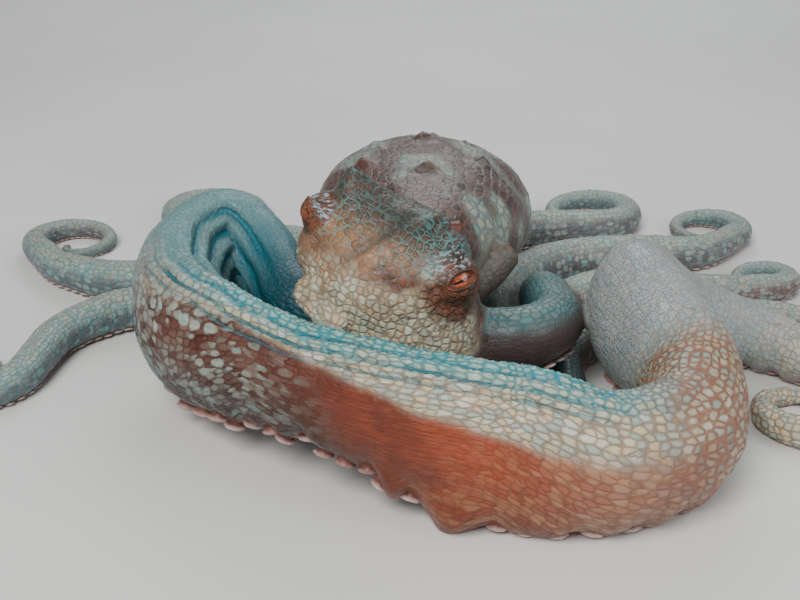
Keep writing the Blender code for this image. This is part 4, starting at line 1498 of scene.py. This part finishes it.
def sucker_seats(arms, skin):
    """Seat, axis and size of each sucker, two staggered rows along the underside of each arm."""
    mesh = skin.data
    tree = BVHTree.FromPolygons(points_of(mesh).tolist(), [p.vertices[:] for p in mesh.polygons])
    seats, axes, sizes = [], [], []
    for name, arm in arms.items():
        splay = SUCKER_SPLAY.get(name, USUAL_SPLAY)
        for row in (-1, 1):
            run = 3.0 + (0.0 if row > 0 else 0.5)
            while run < arm.run[-1] - 0.5:
                width = 2 * float(np.interp(run, arm.run, arm.half_width))
                height = 2 * float(np.interp(run, arm.run, arm.half_height))
                radius = 0.045 + 0.115 * width
                angle = math.radians(-90 + row * splay)
                across = math.cos(angle) * (1 - 0.16 * math.sin(angle) ** 2) * width / 2
                middle = arm.at("middle", [run])[0]
                side, up = arm.at("side", [run])[0], arm.at("up", [run])[0]
                seat = middle + side * across + up * math.sin(angle) * height / 2
                seat[2] = max(seat[2], 0.25 * radius)
                out = unit(side * math.cos(angle) / width + up * math.sin(angle) / height)
                hit, normal, index, gap = tree.find_nearest(to_frame(seat).tolist())
                if gap < 0.35 * CM and np.dot(out, normal) > 0.35:
                    axis = unit(np.array(normal) + 0.6 * out - (0.0, 0.0, 0.8))
                    seat = np.array(hit) / CM - STAND + 0.05 * radius * axis
                    lowest = seat[2] + 0.5 * radius * axis[2] - radius * math.hypot(*axis[:2])
                    if lowest > -0.7 * radius:
                        seat[2] += max(-lowest, 0.0)
                        seats.append(seat)
                        axes.append(axis)
                        sizes.append(radius)
                run += 2.12 * radius
    return np.array(seats), np.array(axes), np.array(sizes)


def build_suckers(sizes, look, arms, skin):
    """All suckers as one piece."""
    form = lathe("sucker_form", SUCKER_PROFILE, SUCKER_SIDES)
    seats, axes, radii = sucker_seats(arms, skin)
    item = mesh_object("octopus_suckers", seats, [])
    set_values(item.data, "sucker_axis", axes)
    set_values(item.data, "sucker_size", radii)
    recipe = sucker_rows(form)
    recipe.run_on(item, **{"Size factor": sizes.sucker_factor, "Material": sucker_material(look)})
    place_points(item.data, to_frame(above_floor(points_of(item.data))))
    item.data.shade_smooth()
    bpy.data.objects.remove(form)
    return item


def build_eye(label, material):
    """Eyeball with a slight bulge in front, its coordinates along the slit, over it and ahead."""
    place, sign = EYES[label]
    look, slit, over = eye_axes(sign)
    axes = np.array([slit, over, look])
    verts, faces = ball_shell(np.zeros(3), np.ones(3), np.eye(3), 96, 64)
    bulge = 1 + 0.035 * np.exp(-(verts[:, 0] ** 2 + verts[:, 1] ** 2) / 0.16) * (verts[:, 2] > 0)
    item = mesh_object(f"octopus_eye_{label}", verts, faces)
    set_values(item.data, "eye_place", verts)
    points = head_place(*place) + (verts * bulge[:, None] * EYE_RADIUS) @ axes
    place_points(item.data, to_frame(points))
    bm = bmesh.new()
    bm.from_mesh(item.data)
    bmesh.ops.remove_doubles(bm, verts=bm.verts, dist=1e-6)
    bmesh.ops.recalc_face_normals(bm, faces=bm.faces)
    bm.to_mesh(item.data)
    bm.free()
    item.data.shade_smooth()
    item.data.materials.append(material)
    return item


def build_floor(material, reach):
    """Floor that sweeps up behind into a backdrop."""
    bend, tall = 0.6, 2.6
    line = [(-reach, 0.0), (reach * 0.6, 0.0)]
    for k in range(1, 25):
        turn = math.pi / 2 * k / 24
        line.append((reach * 0.6 + bend * math.sin(turn), bend * (1 - math.cos(turn))))
    line.append((reach * 0.6 + bend, tall))
    verts = [(x, y, z) for y, z in line for x in (-2 * reach, 2 * reach)]
    faces = [(2 * i, 2 * i + 1, 2 * i + 3, 2 * i + 2) for i in range(len(line) - 1)]
    item = mesh_object("floor_backdrop", verts, faces)
    item.data.shade_smooth()
    item.data.materials.append(material)
    return item


def add_light(name, place, aim, size, power, colour):
    """A soft round light, aimed at a point."""
    light = bpy.data.lights.new(name, "AREA")
    light.shape = "DISK"
    light.size = size
    light.energy = power
    light.color = colour
    item = bpy.data.objects.new(name, light)
    item.location = place
    item.rotation_euler = (Vector(aim) - Vector(place)).to_track_quat("-Z", "Y").to_euler()
    bpy.context.scene.collection.objects.link(item)
    return item


def add_camera(stage):
    """Camera at the resting view: level turn, raised by its elevation, aimed at the head."""
    lens = bpy.data.cameras.new("view")
    lens.sensor_fit = "HORIZONTAL"
    lens.angle = stage.camera_angle
    item = bpy.data.objects.new("view", lens)
    aim = Vector(to_frame(np.array((0.0, 0.0, stage.camera_aim / CM))))
    rise = stage.camera_rise
    back = Vector((0.0, -math.cos(rise), math.sin(rise)))
    item.location = aim + back * stage.camera_distance
    item.rotation_euler = (-back).to_track_quat("-Z", "Y").to_euler()
    bpy.context.scene.collection.objects.link(item)
    bpy.context.scene.camera = item
    return item


# ---------------------------------------------------------------- add-on


def colour_property(name, description, rgb):
    """A colour, from the usual 0 to 255 steps."""
    return bpy.props.FloatVectorProperty(
        name=name,
        description=description,
        default=srgb(*rgb),
        subtype="COLOR",
        size=4,
        min=0.0,
        max=1.0,
    )


def length_property(name, description, default, **limits):
    """A length in metres."""
    return bpy.props.FloatProperty(
        name=name,
        description=description,
        default=default,
        subtype="DISTANCE",
        unit="LENGTH",
        precision=4,
        **limits,
    )


def angle_property(name, description, degrees):
    """An angle, from degrees."""
    return bpy.props.FloatProperty(
        name=name,
        description=description,
        default=math.radians(degrees),
        subtype="ANGLE",
        unit="ROTATION",
    )


SKIN_COLOURS = {
    "cream": ("Cream", "Warm pale cobbles", (204, 188, 156)),
    "cream_grey": ("Cream grey", "Cooler pale cobbles", (166, 178, 166)),
    "white": ("White", "Palest cobbles and sucker rims", (216, 214, 200)),
    # flank, flank_dark and flank_light also carry, through the blush share, a painted highlight near the
    # band and painted shade towards the arch
    "flank": ("Flank", "Red-brown of the flanks", (146, 62, 36)),
    "flank_dark": ("Dark flank", "Deep brown of the flanks", (68, 32, 22)),
    "flank_light": ("Light flank", "Orange highlights of the flanks", (188, 92, 50)),
    "rust": ("Rust", "Net cells of the head", (116, 58, 36)),
    "rust_dark": ("Dark rust", "Darker net cells", (72, 38, 28)),
    "tan": ("Tan", "Warm cobbles of the head", (180, 134, 94)),
    "net": ("Net", "Turquoise lines over the head", (82, 134, 128)),
    "net_dark": ("Dark net", "Dimmer lines over the head", (62, 98, 92)),
    "line_brown": ("Cobble lines", "Thin lines between the cobbles", (118, 88, 66)),
    "teal_bright": ("Bright teal", "Lines and furrows", (14, 132, 146)),
    "teal_deep": ("Deep teal", "Hollows", (4, 110, 128)),
    "teal_pale": ("Pale teal", "Tinted cobbles", (112, 186, 186)),
    "teal_dark": ("Dark teal", "Tint of the crown's cells", (44, 64, 62)),
    "mauve": ("Mauve", "Small cells between the flank's spots", (138, 116, 102)),
    "crest": ("Crest", "Blue-grey crests of the arms", (158, 170, 176)),
    "crest_dark": ("Dark crest", "Between the grains of the crests", (48, 88, 102)),
    "ring_red": ("Ring red", "Net between the rounder cells", (146, 92, 74)),
    "lilac": ("Lilac", "Underside of the arms", (176, 140, 136)),
    "lilac_dark": ("Dark lilac", "Blush of the underside", (126, 78, 70)),
    "lid": ("Lid", "Silvery blue folds over the eyes", (158, 190, 204)),
    # eye_brown draws the painted shade round the eyes, fleck also the painted shade at the cobbles'
    # edges, and shadow the painted shade of hollows and of parts under the head
    "eye_brown": ("Eye brown", "Dark skin round the eyes", (60, 28, 18)),
    "fleck": ("Fleck", "Fine dark flecks and cobble edges", (150, 124, 108)),
    "shadow": ("Shadow", "Tint of the deepest hollows", (98, 104, 106)),
    "cup": ("Cup", "Inside of the suckers", (82, 50, 50)),
}
EYE_COLOURS = {
    "iris": ("Iris", "Copper of the iris", (196, 88, 34)),
    "iris_dark": ("Dark iris", "Outer part of the iris", (104, 42, 20)),
    "iris_light": ("Light iris", "Flecks of the iris", (236, 158, 88)),
    "iris_blue": ("Iris sheen", "Violet-blue sheen", (120, 124, 190)),
    "slit": ("Slit", "Pupil", (8, 7, 8)),
    "eye_brown": ("Eye edge", "Rim of the eyeball", (74, 38, 28)),
}
STAGE_COLOURS = {
    "floor": ("Floor", "Pale floor", (224, 224, 222)),
    "floor_low": ("Floor shade", "Slightly darker floor", (214, 214, 212)),
}


class OctopusSkinSettings(bpy.types.PropertyGroup):
    """Sizes and colours of the skin and suckers"""

    skin_step: length_property(
        "Skin step", "Distance between points of the drawn-over skin", 0.0010, min=0.0006, max=0.003
    )
    skin_faces: bpy.props.IntProperty(
        name="Skin faces",
        description="Number of triangles that the finished skin is thinned to",
        default=194000,
        min=20000,
        max=199000,
    )
    cobble_height: length_property(
        "Cobble height", "How far each marking cell stands out", 0.0006, min=0.0, max=0.003
    )
    lump_height: length_property("Lump height", "Unevenness of the flesh", 0.0022, min=0.0, max=0.006)
    relief: length_property("Relief", "Depth of the finest relief", 0.0008, min=0.0, max=0.003)
    sucker_factor: bpy.props.FloatProperty(
        name="Sucker size",
        description="Size of the suckers, as a factor",
        default=1.0,
        min=0.5,
        max=1.5,
        subtype="FACTOR",
    )
    __annotations__.update({key: colour_property(*rest) for key, rest in SKIN_COLOURS.items()})


class OctopusEyeSettings(bpy.types.PropertyGroup):
    """Colours of the eyes"""

    __annotations__ = {key: colour_property(*rest) for key, rest in EYE_COLOURS.items()}


class OctopusStageSettings(bpy.types.PropertyGroup):
    """Floor, lights and camera"""

    camera_angle: angle_property("Camera angle", "Width of the camera's view", 36.0)
    camera_rise: angle_property("Camera rise", "How far above level the camera looks down from", 25.0)
    camera_distance: length_property(
        "Camera distance", "Distance from the camera to the point it is aimed at", 0.473
    )
    camera_aim: length_property("Camera aim", "Height of the point that the camera is aimed at", 0.058)
    light_power: bpy.props.FloatProperty(
        name="Light power",
        description="Power of the main light",
        default=16.0,
        min=0.0,
        unit="POWER",
    )
    __annotations__.update({key: colour_property(*rest) for key, rest in STAGE_COLOURS.items()})


def colours_of(settings, table):
    """The colours of a table as they are set now."""
    return {key: tuple(getattr(settings, key)) for key in table}


class OCTOPUS_OT_skin(bpy.types.Operator):
    """Draw one skin over the body and set its suckers"""

    bl_idname = "octopus.build_skin"
    bl_label = "Build skin and suckers"

    def execute(self, context):
        sizes = context.scene.octopus_skin
        look = colours_of(sizes, SKIN_COLOURS)
        look["relief"] = sizes.relief
        skin, arms = build_skin(sizes, look)
        flesh = [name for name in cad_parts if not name.startswith("eye")]
        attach(skin, "root")
        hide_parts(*flesh)
        suckers = build_suckers(sizes, look, arms, skin)
        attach(suckers, "root")
        return {"FINISHED"}


class OCTOPUS_OT_eyes(bpy.types.Operator):
    """Set both eyes behind their lids"""

    bl_idname = "octopus.build_eyes"
    bl_label = "Build eyes"

    def execute(self, context):
        material = eye_material(colours_of(context.scene.octopus_eyes, EYE_COLOURS))
        for label in EYES:
            item = build_eye(label, material)
            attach(item, "root")
            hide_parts(f"eye_{label}")
        return {"FINISHED"}


class OCTOPUS_OT_stage(bpy.types.Operator):
    """Set the pale floor, the soft lights and the camera"""

    bl_idname = "octopus.build_stage"
    bl_label = "Build stage"

    def execute(self, context):
        stage = context.scene.octopus_stage
        look = colours_of(stage, STAGE_COLOURS)
        build_floor(floor_material(look), 5.0)
        power = stage.light_power
        aim = (0.0, -0.06, 0.04)
        add_light("key_light", (-0.35, -0.85, 0.95), aim, 0.7, power, (1.0, 0.98, 0.95))
        add_light("fill_light", (0.95, -0.55, 0.55), aim, 0.8, power * FILL_SHARE, (0.95, 0.98, 1.0))
        add_light("back_light", (0.1, 0.95, 0.8), aim, 0.9, power * BACK_SHARE, (0.94, 0.98, 1.0))
        world = bpy.data.worlds.new("soft_room")
        world.use_nodes = True
        sky = world.node_tree.nodes["Background"]
        sky.inputs["Color"].default_value = (0.86, 0.90, 0.94, 1.0)
        sky.inputs["Strength"].default_value = SKY_STRENGTH
        context.scene.world = world
        add_camera(stage)
        return {"FINISHED"}


class OCTOPUS_PT_panel(bpy.types.Panel):
    """Lists the pieces of the octopus and their settings"""

    bl_label = "Octopus"
    bl_idname = "OCTOPUS_PT_panel"
    bl_space_type = "VIEW_3D"
    bl_region_type = "UI"
    bl_category = "Octopus"

    def draw(self, context):
        groups = (
            (context.scene.octopus_skin, OCTOPUS_OT_skin),
            (context.scene.octopus_eyes, OCTOPUS_OT_eyes),
            (context.scene.octopus_stage, OCTOPUS_OT_stage),
        )
        for settings, operator in groups:
            box = self.layout.box()
            box.operator(operator.bl_idname)
            for name in type(settings).__annotations__:
                box.prop(settings, name)


CLASSES = (
    OctopusSkinSettings,
    OctopusEyeSettings,
    OctopusStageSettings,
    OCTOPUS_OT_skin,
    OCTOPUS_OT_eyes,
    OCTOPUS_OT_stage,
    OCTOPUS_PT_panel,
)


def register():
    for item in CLASSES:
        bpy.utils.register_class(item)
    scene = bpy.types.Scene
    scene.octopus_skin = bpy.props.PointerProperty(type=OctopusSkinSettings)
    scene.octopus_eyes = bpy.props.PointerProperty(type=OctopusEyeSettings)
    scene.octopus_stage = bpy.props.PointerProperty(type=OctopusStageSettings)


def unregister():
    for name in ("octopus_stage", "octopus_eyes", "octopus_skin"):
        delattr(bpy.types.Scene, name)
    for item in reversed(CLASSES):
        bpy.utils.unregister_class(item)


def main():
    register()
    bpy.ops.octopus.build_stage()
    bpy.ops.octopus.build_skin()
    bpy.ops.octopus.build_eyes()


if __name__ == "__main__":
    main()
